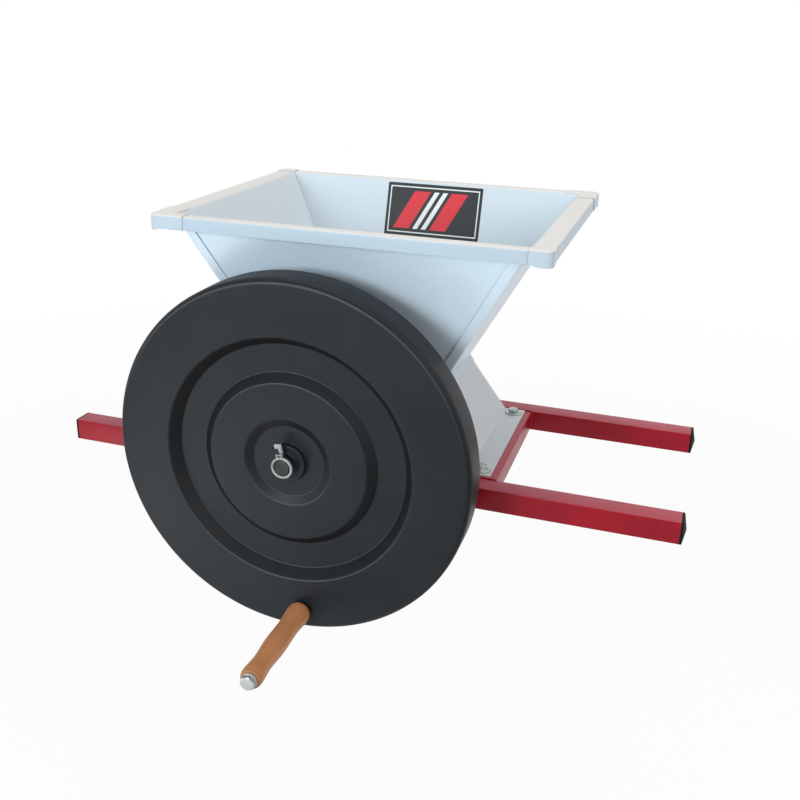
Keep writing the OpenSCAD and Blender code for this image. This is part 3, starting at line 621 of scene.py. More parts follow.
@dataclass(frozen=True)
class Nylon(Finish):
    """Machined off-white nylon, a little greasy near the shafts."""

    colour: Colour
    grease: Colour
    grease_share: float = 0.6
    grease_rough: float = 0.12
    worn_colour: Colour = srgb(244, 240, 228)
    worn_share: float = 0.3
    worn_reach: float = 0.8
    rough: float = 0.38
    specular: float = 0.4
    stains: Pattern = Pattern(40.0, 5.0, 0.7, (0.45, 0.78))
    turning: Pattern = Pattern(900.0, 2.0, 0.5, stretch=(0.2, 1.0, 0.2))
    relief: Relief = Relief(0.03, 0.4, 0.5)

    def build(self, shader: Shader) -> bpy.types.Material:
        """Stains the nylon in clouds and gives it turning marks.

        Args:
            shader: The empty shader.

        Returns:
            The material.
        """
        stain = shader.noise(self.stains)
        colour = shader.mix(stain * self.grease_share, self.colour, self.grease)
        colour = shader.mix(shader.edges(self.worn_reach) * self.worn_share, colour, self.worn_colour)
        rough = self.rough + stain * self.grease_rough
        return shader.finish({"Specular IOR Level": self.specular}, Base_Color=colour, Roughness=rough,
                             Normal=shader.bump(shader.noise(self.turning), self.relief))


@dataclass(frozen=True)
class TurnedWood(Finish):
    """Oiled hardwood turned along Y: growth rings, fine pores, darkened ends."""

    pale: Colour
    dark: Colour
    centre: Vector
    end_low: float
    end_high: float
    pith: tuple[float, float, float] = (0.021, 0.0, 0.008)
    bend: tuple[float, float] = (0.010, 0.006)
    rings_per_metre: float = 2300.0
    ring_sharpness: float = 1.6
    ring_share: float = 0.28
    ring_rough: float = 0.05
    fibre_share: float = 0.30
    fibre_rough: float = 0.12
    pore_colour: Colour = srgb(92, 52, 30)
    pore_share: float = 0.18
    pore_depth: float = 0.8
    tip_colour: Colour = srgb(120, 72, 44)
    tip_share: float = 0.45
    tip_reach: tuple[float, float] = (7.0, 5.0)
    rough: float = 0.46
    specular: float = 0.35
    wander: Pattern = Pattern(26.0, 3.0, 0.5, stretch=(1.0, 0.10, 1.0))
    fibres: Pattern = Pattern(420.0, 4.0, 0.65, stretch=(1.0, 0.035, 1.0))
    pores: Pattern = Pattern(900.0, 2.0, 0.6, (0.60, 0.70), stretch=(1.0, 0.05, 1.0))
    relief: Relief = Relief(0.06, 0.5)

    def build(self, shader: Shader) -> bpy.types.Material:
        """Rings are a sine of the distance from a pith outside the grip, bent by slow noise.

        Args:
            shader: The empty shader.

        Returns:
            The material.
        """
        wander = shader.noise(self.wander) - 0.5
        pith = self.centre + Vector(self.pith)
        across = shader.axis(0, pith) + wander * self.bend[0]
        upward = shader.axis(2, pith) + wander * self.bend[1]
        distance = (across * across + upward * upward).root()
        ring = (distance * self.rings_per_metre).sine() * 0.5 + 0.5
        fibre = shader.noise(self.fibres)
        grain = ring ** self.ring_sharpness * self.ring_share + fibre * self.fibre_share
        colour = shader.mix(grain, self.pale, self.dark)
        pore = shader.noise(self.pores)
        colour = shader.mix(pore * self.pore_share, colour, self.pore_colour)
        along = shader.axis(1)
        tips = 1 - along.step(self.end_low * MM, (self.end_low + self.tip_reach[0]) * MM)
        tips = tips + along.step((self.end_high - self.tip_reach[1]) * MM, self.end_high * MM)
        colour = shader.mix(tips * self.tip_share, colour, self.tip_colour)
        rough = self.rough + fibre * self.fibre_rough - ring * self.ring_rough
        return shader.finish({"Specular IOR Level": self.specular}, Base_Color=colour, Roughness=rough,
                             Normal=shader.bump(fibre - pore * self.pore_depth, self.relief))


@dataclass(frozen=True)
class Vinyl(Finish):
    """Plain sticker: a dark field, a thin pale frame and a few slanted bars."""

    field: Colour
    accent: Colour
    line: Colour
    middle: Vector
    half_width: float
    half_height: float
    frame_band: tuple[float, float] = (0.84, 0.885)
    bars_within: float = 0.72
    lean: float = 0.28
    accent_bars: tuple[tuple[float, float], ...] = ((-0.62, -0.28), (0.16, 0.50))
    line_bars: tuple[tuple[float, float], ...] = ((-0.20, -0.10), (-0.02, 0.08))
    dust_colour: Colour = srgb(200, 200, 200)
    dust_share: float = 0.03
    dust_rough: float = 0.1
    rough: float = 0.34
    specular: float = 0.2
    dust: Pattern = Pattern(120.0, 4.0, 0.6, (0.50, 0.78))
    ripple: Pattern = Pattern(40.0, 2.0, 0.5)
    relief: Relief = Relief(0.12, 0.3)

    def build(self, shader: Shader) -> bpy.types.Material:
        """Draws the frame and the bars from the sticker's own level and upright coordinates.

        Both run from -1 to 1. The greater of the two, with the level one counted from its end in half
        heights, is 1 all along the border, and a band of it is the frame.

        Args:
            shader: The empty shader.

        Returns:
            The material.
        """
        across = shader.axis(0, self.middle) / (self.half_width * MM)
        upward = shader.axis(2, self.middle) / (self.half_height * MM)
        aspect = self.half_width / self.half_height
        far = shader.make("ShaderNodeMath", {"operation": "MAXIMUM"},
                          {0: abs(across) * aspect - (aspect - 1), 1: abs(upward)})
        in_frame = (far > self.frame_band[0]) * (far < self.frame_band[1])
        colour = shader.mix(in_frame, self.field, self.line)
        inside, slant = far < self.bars_within, across - upward * self.lean
        for bars, paint in ((self.accent_bars, self.accent), (self.line_bars, self.line)):
            for low, high in bars:
                colour = shader.mix((slant > low) * (slant < high) * inside, colour, paint)
        dust = shader.noise(self.dust)
        colour = shader.mix(dust * self.dust_share, colour, self.dust_colour)
        return shader.finish({"Specular IOR Level": self.specular}, Base_Color=colour,
                             Roughness=self.rough + dust * self.dust_rough,
                             Normal=shader.bump(shader.noise(self.ripple), self.relief))


# Surfaces

BEND_STEPS = 8
SHEET_COLUMNS = 9
HEX_STATIONS = (0.0, 0.0, 0.04, 0.1, 0.2, 0.5, 0.80, 0.86, 0.92, 0.96, 1.0, 1.0)
CHAMFER_FROM = 0.475
CHAMFER_SLOPE = 1.73
THREAD_DEPTH = 0.6
THREAD_TIP = 0.6
LEAST_BEND = 0.4
LEAST_EDGE = 0.02


def unit(vectors: np.ndarray) -> np.ndarray:
    """Vectors of length 1."""
    return vectors / np.linalg.norm(vectors, axis=-1, keepdims=True)


def around(count: int) -> np.ndarray:
    """Even angles round a full turn, one per row."""
    return np.linspace(0, 2 * pi, count, endpoint=False)[:, None]


def run_length(path: np.ndarray) -> np.ndarray:
    """Length along a path up to each of its points."""
    return np.concatenate([[0], np.cumsum(np.linalg.norm(np.diff(path, axis=0), axis=1))])


def points_at(path: np.ndarray, lengths: np.ndarray) -> np.ndarray:
    """Points of a flat path at lengths along it."""
    return np.column_stack([np.interp(lengths, run_length(path), path[:, i]) for i in (0, 1)])


def at_height(path: np.ndarray, height: float) -> np.ndarray:
    """Points of a flat path, lifted to a height."""
    return np.column_stack([path, np.full(len(path), height)])


def rounded_path(corners: np.ndarray, radii: np.ndarray | float, steps: int = 6,
                 closed: bool = False) -> np.ndarray:
    """Polyline whose corners are arcs.

    Each arc's centre lies on its corner's bisector, at the radius over the sine of half the corner's
    angle, and its points swing from one touching point to the other in equal angles.

    Args:
        corners: Corner points, one per row.
        radii: One radius, or one for each corner.
        steps: Steps on each arc.
        closed: Whether the last corner joins the first; else both ends stay as they are.

    Returns:
        The path's points.
    """
    points = np.asarray(corners, float)
    size = np.broadcast_to(np.asarray(radii, float), len(points))
    if closed:
        middle, before, after = points, np.roll(points, 1, 0), np.roll(points, -1, 0)
    else:
        middle, before, after, size = points[1:-1], points[:-2], points[2:], size[1:-1]
    to_before, to_after = unit(before - middle), unit(after - middle)
    angle = np.arccos(np.clip((to_before * to_after).sum(-1), -1, 1))
    centre = middle + unit(to_before + to_after) * (size / np.sin(angle / 2))[:, None]
    reach = (size / np.tan(angle / 2))[:, None]
    first, last = middle + to_before * reach - centre, middle + to_after * reach - centre
    turn = (pi - angle)[:, None, None]
    share = np.linspace(0, 1, steps + 1)[None, :, None]
    swing = np.sin((1 - share) * turn) * first[:, None] + np.sin(share * turn) * last[:, None]
    arcs = (centre[:, None] + swing / np.sin(turn)).reshape(-1, points.shape[1])
    return arcs if closed else np.vstack([points[:1], arcs, points[-1:]])


def offset_path(path: np.ndarray, distance: float) -> np.ndarray:
    """Flat path moved to its left, each point along the mean of its sides' normals, stretched at bends.

    Args:
        path: Points of the path.
        distance: How far it moves; less than 0 moves it to its right.

    Returns:
        The moved points.
    """
    along = unit(np.diff(path, axis=0))
    normal = np.column_stack([-along[:, 1], along[:, 0]])
    before, after = np.vstack([normal[:1], normal]), np.vstack([normal, normal[-1:]])
    mean = unit(before + after)
    return path + mean * (distance / (mean * before).sum(-1))[:, None]


def oblong(width: float, height: float, radius: float, steps: int = 5) -> np.ndarray:
    """Outline of a centred rectangle with round corners, counter-clockwise."""
    half = np.array([[1, -1], [1, 1], [-1, 1], [-1, -1]]) * [width / 2, height / 2]
    return rounded_path(half, radius, steps, closed=True)


def quads(index: np.ndarray) -> np.ndarray:
    """Four-cornered faces between the neighbours of a grid of point numbers."""
    return np.stack([index[:-1, :-1], index[1:, :-1], index[1:, 1:], index[:-1, 1:]], -1).reshape(-1, 4)


def spanned(path: np.ndarray, reach: np.ndarray, axis: int, columns: int = SHEET_COLUMNS) -> np.ndarray:
    """Grid of a bent sheet: a path across its bends, spread evenly along the axis that the path leaves out.

    Args:
        path: Level place and height of each point.
        reach: Half of the sheet's span at each point.
        axis: 0 where the sheet spans X, 1 where it spans Y.
        columns: Points along the span.

    Returns:
        The grid, points of the path by columns by 3.
    """
    grid = np.empty((len(path), columns, 3))
    grid[..., axis] = reach[:, None] * np.linspace(-1, 1, columns)
    grid[..., 1 - axis] = path[:, :1]
    grid[..., 2] = path[:, 1:]
    return grid


@dataclass
class Shell:
    """Points and faces of a closed surface, in millimetres."""

    points: np.ndarray
    faces: list[np.ndarray]

    def __add__(self, other: "Shell") -> "Shell":
        """Both surfaces in one."""
        moved = [faces + len(self.points) for faces in other.faces]
        return Shell(np.vstack([self.points, other.points]), self.faces + moved)

    def mirrored(self, axis: int) -> "Shell":
        """The surface mirrored across the frame's middle plane of one axis."""
        sign = np.where(np.arange(3) == axis, -1, 1)
        return Shell(self.points * sign, [faces[:, ::-1] for faces in self.faces])

    def on_side(self, axis: int, side: int) -> "Shell":
        """The surface as it is for the positive side of an axis, mirrored for the negative one."""
        return self if side > 0 else self.mirrored(axis)

    def moved(self, x: float, y: float, z: float) -> "Shell":
        """The surface moved by a distance."""
        return Shell(self.points + [x, y, z], self.faces)

    def turned(self, matrix: np.ndarray) -> "Shell":
        """The surface turned about the origin by a matrix."""
        return Shell(self.points @ np.asarray(matrix).T, self.faces)

    def spun(self, degrees: float, axis: str) -> "Shell":
        """The surface turned about one of the frame's axes."""
        return self.turned(np.array(Matrix.Rotation(radians(degrees), 3, axis)))

    @staticmethod
    def joined(shells: list["Shell"]) -> "Shell":
        """All surfaces in one."""
        return sum(shells[1:], shells[0])

    @staticmethod
    def slab(front: np.ndarray, back: np.ndarray) -> "Shell":
        """Closed sheet between two grids: both faces, and the strip that joins their borders.

        Args:
            front: Grid of points, rows by columns by 3.
            back: Grid of the same shape on the other face.

        Returns:
            The sheet.
        """
        index = np.arange(front[..., 0].size).reshape(front.shape[:2])
        count = index.size
        border = np.concatenate([index[0, :-1], index[:-1, -1], index[-1, :0:-1], index[:0:-1, 0]])
        after = np.roll(border, -1)
        strip = np.stack([border, after, after + count, border + count], -1)
        points = np.vstack([front.reshape(-1, 3), back.reshape(-1, 3)])
        return Shell(points, [quads(index), quads(index)[:, ::-1] + count, strip])

    @staticmethod
    def loft(sections: np.ndarray, path_closed: bool = False) -> "Shell":
        """Closed outlines carried along a path.

        Args:
            sections: Outlines by points by 3.
            path_closed: Whether the last outline joins the first; else both get a face.

        Returns:
            The surface.
        """
        index = np.arange(sections[..., 0].size).reshape(sections.shape[:2])
        index = np.hstack([index, index[:, :1]])
        ends = [index[:1, :-1], index[-1:, -2::-1]]
        if path_closed:
            index, ends = np.vstack([index, index[:1]]), []
        return Shell(sections.reshape(-1, 3), [quads(index)] + ends)

    @staticmethod
    def swept(radius: np.ndarray, place: np.ndarray, angle: np.ndarray) -> "Shell":
        """Radii carried round the Y axis: x = r cos a, z = r sin a, y = place.

        Args:
            radius: Radii, a row for each angle or one row for all.
            place: Y of each column.
            angle: Angles, one per row.

        Returns:
            The surface.
        """
        sections = np.stack([radius * np.cos(angle), place + 0 * angle, radius * np.sin(angle)], -1)
        return Shell.loft(sections, path_closed=True)

    @staticmethod
    def lathe(profile: np.ndarray, segments: int = 96) -> "Shell":
        """Radii and places turned round the Y axis; the profile is closed, or its ends lie on the axis."""
        return Shell.swept(profile[None, :, 0], profile[None, :, 1], around(segments))


def tube(low: np.ndarray, high: np.ndarray, axis: int, radius: float, wall: float) -> Shell:
    """Hollow oblong tube that fills a box: an outer and an inner outline, joined at both ends.

    Args:
        low, high: Corners of the box.
        axis: 0 along X, 1 along Y.
        radius: Outer corner radius.
        wall: Thickness.

    Returns:
        The tube.
    """
    side = 1 - axis
    width, height = high[side] - low[side], high[2] - low[2]
    outer = oblong(width, height, radius)
    inner = oblong(width - 2 * wall, height - 2 * wall, max(radius - wall, LEAST_BEND))
    rows = np.stack([outer, outer, inner, inner])
    place = np.array([low[axis], high[axis], high[axis], low[axis]])[:, None] + 0 * rows[..., 0]
    middle = (low + high) / 2
    sections = np.empty(rows.shape[:2] + (3,))
    sections[..., axis] = place
    sections[..., side] = rows[..., 0] + middle[side]
    sections[..., 2] = rows[..., 1] + middle[2]
    return Shell.loft(sections, path_closed=True)


def hex_prism(flats: float, height: float, bore: float = 0.0, both_ends: bool = False) -> Shell:
    """Hexagon along -Y from y = 0 with a turned chamfer on its outer end.

    At each angle the radius is the lesser of the hexagon's, flats / 2 over the cosine of the angle from
    the middle of a side, and of a 30 degree cone that starts a little inside the flats.

    Args:
        flats: Width across the flats.
        height: Length along the axis.
        bore: Diameter of the hole, or 0 for a closed head.
        both_ends: Whether the inner end is chamfered too.

    Returns:
        The surface.
    """
    angle = around(96)
    side = (angle + pi / 6) % (pi / 3) - pi / 6
    share = np.array(HEX_STATIONS)[None, :]
    cone = flats * CHAMFER_FROM + (1 - share) * height * CHAMFER_SLOPE
    if both_ends:
        cone = np.minimum(cone, flats * CHAMFER_FROM + share * height * CHAMFER_SLOPE)
    radius = np.minimum(flats / 2 / np.cos(side), cone)
    radius[:, [0, -1]] = bore / 2
    return Shell.swept(radius, -share * height, angle)


def washer(outside: float, inside: float, thick: float, edge: float = 0.4) -> Shell:
    """Flat ring along -Y from y = 0 with rounded edges."""
    corners = np.array([[inside / 2, 0], [outside / 2, 0], [outside / 2, -thick], [inside / 2, -thick]])
    return Shell.lathe(rounded_path(corners, edge, 4, closed=True), 72)


def threaded(diameter: float, length: float, pitch: float) -> Shell:
    """Bolt end along +Y from y = 0: the radius falls by a triangle wave of the screw's phase.

    The phase is the place over the pitch less the share of a turn. A cone chamfers the tip.

    Args:
        diameter: Width over the thread.
        length: Length of the end.
        pitch: Distance from turn to turn.

    Returns:
        The surface.
    """
    angle = around(48)
    place = np.linspace(0, length, int(length / pitch * 8) + 1)[None, :]
    phase = (place / pitch - angle / (2 * pi)) % 1.0
    radius = diameter / 2 - THREAD_DEPTH * pitch * np.abs(2 * phase - 1)
    radius = np.minimum(radius, diameter / 2 - THREAD_TIP + (length - place))
    to_axis = ((0, 0), (1, 1))
    return Shell.swept(np.pad(radius, to_axis), np.pad(place, to_axis, mode="edge"), angle)


def block(x: tuple[float, float], y: tuple[float, float], z: tuple[float, float], edge: float) -> Shell:
    """Box with rounded edges: outlines in X and Y whose inset follows a quarter circle in Z.

    Args:
        x, y, z: Low and high limits along each axis.
        edge: Radius of the edges.

    Returns:
        The block.
    """
    turn = np.linspace(0, pi / 2, 5)
    insets = np.concatenate([edge * (1 - np.sin(turn)), edge * (1 - np.cos(turn))])
    heights = np.concatenate([z[0] + edge * (1 - np.cos(turn)), z[1] - edge * (1 - np.sin(turn))])
    width, depth = x[1] - x[0], y[1] - y[0]
    rings = [oblong(width - 2 * inset, depth - 2 * inset, max(edge - inset, LEAST_EDGE), 4)
             for inset in insets]
    sections = np.stack([at_height(ring, height) for ring, height in zip(rings, heights)])
    return Shell.loft(sections).moved((x[0] + x[1]) / 2, (y[0] + y[1]) / 2, 0)


def along_x(shell: Shell) -> Shell:
    """Turns a shape that runs along Y so that it runs along X."""
    return shell.turned([[0, 1, 0], [-1, 0, 0], [0, 0, 1]])


def upright(shell: Shell) -> Shell:
    """Turns a shape that runs along -Y so that it runs along +Z."""
    return shell.turned([[1, 0, 0], [0, 0, 1], [0, -1, 0]])


def node_box(node: str) -> tuple[np.ndarray, np.ndarray]:
    """Lowest and highest corners of a solid, in millimetres."""
    low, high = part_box(node)
    return np.array(low) / MM, np.array(high) / MM


class Workshop:
    """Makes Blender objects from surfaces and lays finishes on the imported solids."""

    merge_within: float = 2e-6
    flat_below: float = 1e-7
    bevel_steps: int = 2

    def __init__(self) -> None:
        """Starts with no pieces made."""
        self.made = 0

    def add(self, name: str, shell: Shell, finish: Finish, body: Body, replaced: tuple[str, ...] = (),
            bevel: float = 0.0, sharp: float = 40.0) -> None:
        """Turns a surface into a finished piece that moves with a body.

        Args:
            name: The piece's name.
            shell: Its surface.
            finish: Its finish.
            body: The body that it moves with.
            replaced: Solids that it stands for.
            bevel: Width in millimetres of a rounding along its sharp edges.
            sharp: Angle in degrees past which an edge is drawn sharp.
        """
        mesh = bpy.data.meshes.new(name)
        points = (shell.points * MM).astype(np.float32)
        loops = np.concatenate([faces.ravel() for faces in shell.faces]).astype(np.int32)
        totals = np.concatenate([np.full(len(faces), faces.shape[1]) for faces in shell.faces])
        starts = np.concatenate([[0], np.cumsum(totals)[:-1]])
        mesh.vertices.add(len(points))
        mesh.vertices.foreach_set("co", points.ravel())
        mesh.loops.add(len(loops))
        mesh.loops.foreach_set("vertex_index", loops)
        mesh.polygons.add(len(totals))
        mesh.polygons.foreach_set("loop_start", starts.astype(np.int32))
        mesh.update(calc_edges=True)
        self.close(mesh)
        mesh.shade_smooth()
        mesh.set_sharp_from_angle(angle=radians(sharp))
        piece = bpy.data.objects.new(name, mesh)
        bpy.context.scene.collection.objects.link(piece)
        if bevel:
            rounding = piece.modifiers.new("rounding", "BEVEL")
            rounding.width = bevel * MM
            rounding.segments = self.bevel_steps
            rounding.limit_method = "ANGLE"
            rounding.angle_limit = radians(sharp)
            rounding.harden_normals = True
        mesh.materials.append(finish.material())
        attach(piece, body.value)
        if replaced:
            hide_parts(*replaced)
        self.made += 1
        LOG.info("piece %s: %d faces, moves with %s", name, len(mesh.polygons), body.value)

    def close(self, mesh: bpy.types.Mesh) -> None:
        """Merges doubled points, drops flat faces and turns all faces outwards.

        Args:
            mesh: The mesh, which is changed.
        """
        work = bmesh.new()
        work.from_mesh(mesh)
        bmesh.ops.remove_doubles(work, verts=work.verts, dist=self.merge_within)
        bmesh.ops.dissolve_degenerate(work, edges=work.edges, dist=self.flat_below)
        bmesh.ops.recalc_face_normals(work, faces=work.faces)
        work.to_mesh(mesh)
        work.free()

    def dress(self, finish: Finish, *nodes: str) -> None:
        """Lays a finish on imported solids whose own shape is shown.

        Args:
            finish: The finish.
            nodes: Names of the solids.
        """
        for name in nodes:
            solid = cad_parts[name]
            solid.data.materials.clear()
            solid.data.materials.append(finish.material())
            LOG.info("solid %s: %s", name, finish.name)


# Sub-assemblies


@dataclass
class TubeFrame:
    """Square rails, cross rails welded between them, and the caps on the rails' ends."""

    shop: Workshop
    paint: Finish
    plastic: Finish
    corner: float = 1.8
    wall: float = 2.0
    cap_plate: float = 3.0
    cap_rise: float = 4.0
    cap_plug: float = 14.0
    cap_play: float = 0.05
    bead: float = 2.3
    ripple: float = 0.16
    ripple_pitch: float = 2.4
    bead_low: float = 4.0
    bead_step: float = 0.5
    bead_sides: int = 14
    bead_fade: float = 3.0
    bead_tip: float = 0.02
    sway: tuple[tuple[float, float, float], ...] = ((0.07, 5.3, 0.0), (0.05, 2.9, 1.0))
    cap_insets: tuple[float, ...] = (1.2, 3.5, 6.0, 8.5, 11.0, 13.0, 14.2)
    cap_edge: tuple[tuple[float, float], ...] = ((0.0, 0.3), (0.3, 0.0), (2.4, 0.0), (2.9, 0.2), (3.15, 0.6))
    cap_point: tuple[float, float] = (0.1, 0.01)
    plug_edge: float = 0.6
    cap_corner_fall: float = 0.8
    cap_corner_least: float = 0.004

    def build(self) -> None:
        """Makes the tubes, their caps and the weld beads."""
        for name in ("front_rail", "rear_rail"):
            shell = tube(*node_box(name), 0, self.corner, self.wall)
            self.shop.add(name + "_tube", shell, self.paint, Body.FRAME, (name,), sharp=30)
        for name in ("left_cross_rail", "right_cross_rail"):
            low, high = node_box(name)
            self.shop.add(name + "_tube", tube(low, high, 1, self.corner, self.wall), self.paint, Body.FRAME,
                          (name,), sharp=30)
            beads = self.weld(low, high, low[1]) + self.weld(low, high, high[1])
            self.shop.add(name + "_welds", beads, self.paint, Body.FRAME, sharp=60)
        for end in ("front_left", "front_right", "rear_left", "rear_right"):
            name = end + "_end_cap"
            self.shop.add(name + "_moulding", self.cap(name), self.plastic, Body.FRAME, (name,), sharp=50)

    def weld(self, low: np.ndarray, high: np.ndarray, place: float) -> Shell:
        """Bead over the top and down both sides of a cross rail's end.

        A circle is carried along the tube's outline. Its radius falls off at both ends, within each ripple
        it shrinks as the square of the share of the pitch, as stacked drops of weld do, and it sways by a
        sum of sines.

        Args:
            low, high: Corners of the cross rail's box.
            place: Y of the end.

        Returns:
            The bead.
        """
        left, right, top = low[0], high[0], high[2]
        path = rounded_path([[left, self.bead_low], [left, top], [right, top], [right, self.bead_low]],
                            self.corner)
        length = run_length(path)[-1]
        at = np.arange(0, length, self.bead_step)
        centre = points_at(path, at)
        along = unit(np.gradient(centre, axis=0))
        outward = np.column_stack([-along[:, 1], along[:, 0]])
        fall = np.clip(np.minimum(at, length - at) / self.bead_fade, self.bead_tip, 1.0) ** 0.5
        drop = 1 - self.ripple * ((at / self.ripple_pitch) % 1.0) ** 2
        sway = 1 + sum(share * np.sin(at / run + phase) for share, run, phase in self.sway)
        size = (self.bead * fall * drop * sway)[:, None]
        angle = around(self.bead_sides).T
        out = size * np.cos(angle)
        sections = np.stack([centre[:, :1] + outward[:, :1] * out, place + size * np.sin(angle),
                             centre[:, 1:] + outward[:, 1:] * out], -1)
        return Shell.loft(sections)

    def cap(self, name: str) -> Shell:
        """Moulded cap: a plug in the tube, then a plate with a round edge and a low pyramid.

        Outlines shrink towards the middle while they step outwards along X, evenly over the pyramid.

        Args:
            name: The solid that gives its place.

        Returns:
            The cap.
        """
        low, high = node_box(name)
        middle = (low + high) / 2
        side = 1 if middle[0] > 0 else -1
        end = (high[0] if side > 0 else -low[0]) - self.cap_plate - self.cap_rise
        size = high[1] - low[1]
        plug, middle_inset = self.wall + self.cap_play, size / 2 - self.cap_point[1]
        roof = [(self.cap_plate + self.cap_rise * inset / (size / 2), inset) for inset in self.cap_insets]
        rows = [(-self.cap_plug, middle_inset), (-self.cap_plug, plug + self.plug_edge),
                (-self.cap_plug + self.plug_edge, plug), (0.0, plug), *self.cap_edge, *roof,
                (roof[-1][0] + self.cap_point[0], middle_inset)]
        sections = []
        for out, inset in rows:
            corner = max(self.corner - inset * self.cap_corner_fall, self.cap_corner_least)
            ring = oblong(size - 2 * inset, size - 2 * inset, corner)
            sections.append(np.column_stack([np.full(len(ring), end + out), ring]))
        return Shell.loft(np.stack(sections)).moved(0, middle[1], middle[2]).on_side(0, side)


@dataclass
class Hopper:
    """Four bent sheets with a turned-down rim, and covers over the rim's corners."""

    shop: Workshop
    enamel: Finish
    white: Finish
    neck_hx: float = 89.5
    neck_hy: float = 118.0
    neck_z: float = 111.0
    base_hx: float = 150.5
    fold_z: float = 32.0
    sheet: float = 1.5
    side_flat: float = 26.5
    end_flat: float = 17.0
    rim_drop: float = 17.0
    lip: float = 12.0
    fold: float = 13.0
    bend: float = 2.6
    mouth_bend: float = 8.0
    play: float = 0.05
    cover_t: float = 1.0
    long_legs: tuple[float, float] = (46.0, 54.0)
    short_legs: tuple[float, float] = (27.0, 20.0)
    hook: float = 8.0
    long_fade: float = 2.0
    short_fade: float = 16.0
    cover_round: float = 9.0
    cover_hang: float = 2.0
    cover_edge: float = 2.2
    strip_lap: float = 1.0
    mouth_lap: float = 0.5

    def __post_init__(self) -> None:
        """Takes the rim's outside from the solids and works out the walls' slopes."""
        self.rim_hx, self.rim_hy, self.top = node_box("hopper_right_panel")[1]
        self.mouth_hx = self.rim_hx - self.side_flat
        self.mouth_hy = self.rim_hy - self.end_flat
        rise = self.top - self.neck_z
        self.side_slope = (self.mouth_hx - self.neck_hx) / rise
        self.front_slope = (self.mouth_hy - self.neck_hy) / rise
        self.side_stretch = np.hypot(1, self.side_slope)
        self.front_stretch = np.hypot(1, self.front_slope)

    def half_x(self, z: np.ndarray | float) -> np.ndarray | float:
        """Distance of the side walls' inner faces from the middle at a height."""
        return self.neck_hx + self.side_slope * (z - self.neck_z)

    def half_y(self, z: np.ndarray | float) -> np.ndarray | float:
        """Distance of the front and rear walls' inner faces from the middle at a height."""
        return self.neck_hy + self.front_slope * (z - self.neck_z)

    def build(self) -> None:
        """Makes the four panels and the corner covers."""
        for name, axis, side in (("front", 1, -1), ("rear", 1, 1), ("left", 0, -1), ("right", 0, 1)):
            shell = self.end_panel() if axis else self.side_panel()
            self.shop.add("hopper_%s_sheet" % name, shell.on_side(axis, side), self.enamel, Body.FRAME,
                          ("hopper_%s_panel" % name,), bevel=0.35, sharp=50)
        for end, y_side in (("front", -1), ("rear", 1)):
            for hand, x_side in (("left", -1), ("right", 1)):
                shell = self.corner_cover(x_side == y_side).on_side(0, x_side).on_side(1, y_side)
                name = "%s_%s_rim_corner" % (end, hand)
                self.shop.add(name + "_cover", shell, self.white, Body.FRAME, (name,), bevel=0.25, sharp=50)

    def bent(self, corners: list[tuple[float, float]], mouth: float) -> tuple[np.ndarray, np.ndarray]:
        """Visible face of a bent sheet and the face behind it, as two paths across the bends."""
        path = rounded_path(corners, [0, self.bend, mouth, self.bend, 0], BEND_STEPS)
        return path, offset_path(path, -self.sheet)

    def end_panel(self) -> Shell:
        """Rear panel: lip, wall, flat rim and drop, cut off where the side walls stand.

        Across the bends the path runs in Y and Z; along X each point spans the hopper's width at its
        own height, and the rim spans the width between the side panels' rims.

        Returns:
            The panel.
        """
        rim_end = self.half_x(self.top - self.sheet) - self.play
        faces = self.bent([(self.neck_hy, self.neck_z - self.lip), (self.neck_hy, self.neck_z),
                           (self.mouth_hy, self.top), (self.rim_hy, self.top),
                           (self.rim_hy, self.top - self.rim_drop)], self.mouth_bend / 2)
        grids = []
        for path in faces:
            wall = np.clip(self.half_x(path[:, 1]), self.neck_hx, rim_end)
            grids.append(spanned(path, np.where(path[:, 0] > self.mouth_hy, rim_end, wall), 0))
        return Shell.slab(*grids)

    def side_panel(self) -> Shell:
        """Right panel: lip on the casing, wall, rim and drop, and a flange round each upright corner.

        Across the bends the path runs in X and Z; along Y the wall spans the hopper's depth, and the rim
        spans the whole depth with round ends.

        Returns:
            The panel.
        """
        down = unit(np.array([self.base_hx - self.neck_hx, self.fold_z - self.neck_z])) * self.lip
        faces = self.bent([(self.neck_hx + down[0], self.neck_z + down[1]), (self.neck_hx, self.neck_z),
                           (self.mouth_hx, self.top), (self.rim_hx, self.top),
                           (self.rim_hx, self.top - self.rim_drop)], self.mouth_bend)
        round_end = self.cover_round - self.cover_t
        grids = []
        for path in faces:
            wall = np.where(path[:, 1] < self.neck_z, self.neck_hy, self.strip_start(path[:, 1]))
            past = np.clip(path[:, 0] - (self.rim_hx - round_end), 0, round_end)
            rim = self.rim_hy - round_end + np.sqrt(round_end ** 2 - past ** 2)
            grids.append(spanned(path, np.where(path[:, 0] > self.mouth_hx - self.mouth_lap, rim, wall), 1))
        flange = self.flange()
        return Shell.slab(*grids) + flange + flange.mirrored(1)

    def strip_start(self, z: np.ndarray | float) -> np.ndarray | float:
        """Y at which a side wall ends and its upright corner begins, at a height."""
        return self.half_y(z) + 2 * self.sheet * self.front_stretch - self.bend - self.strip_lap

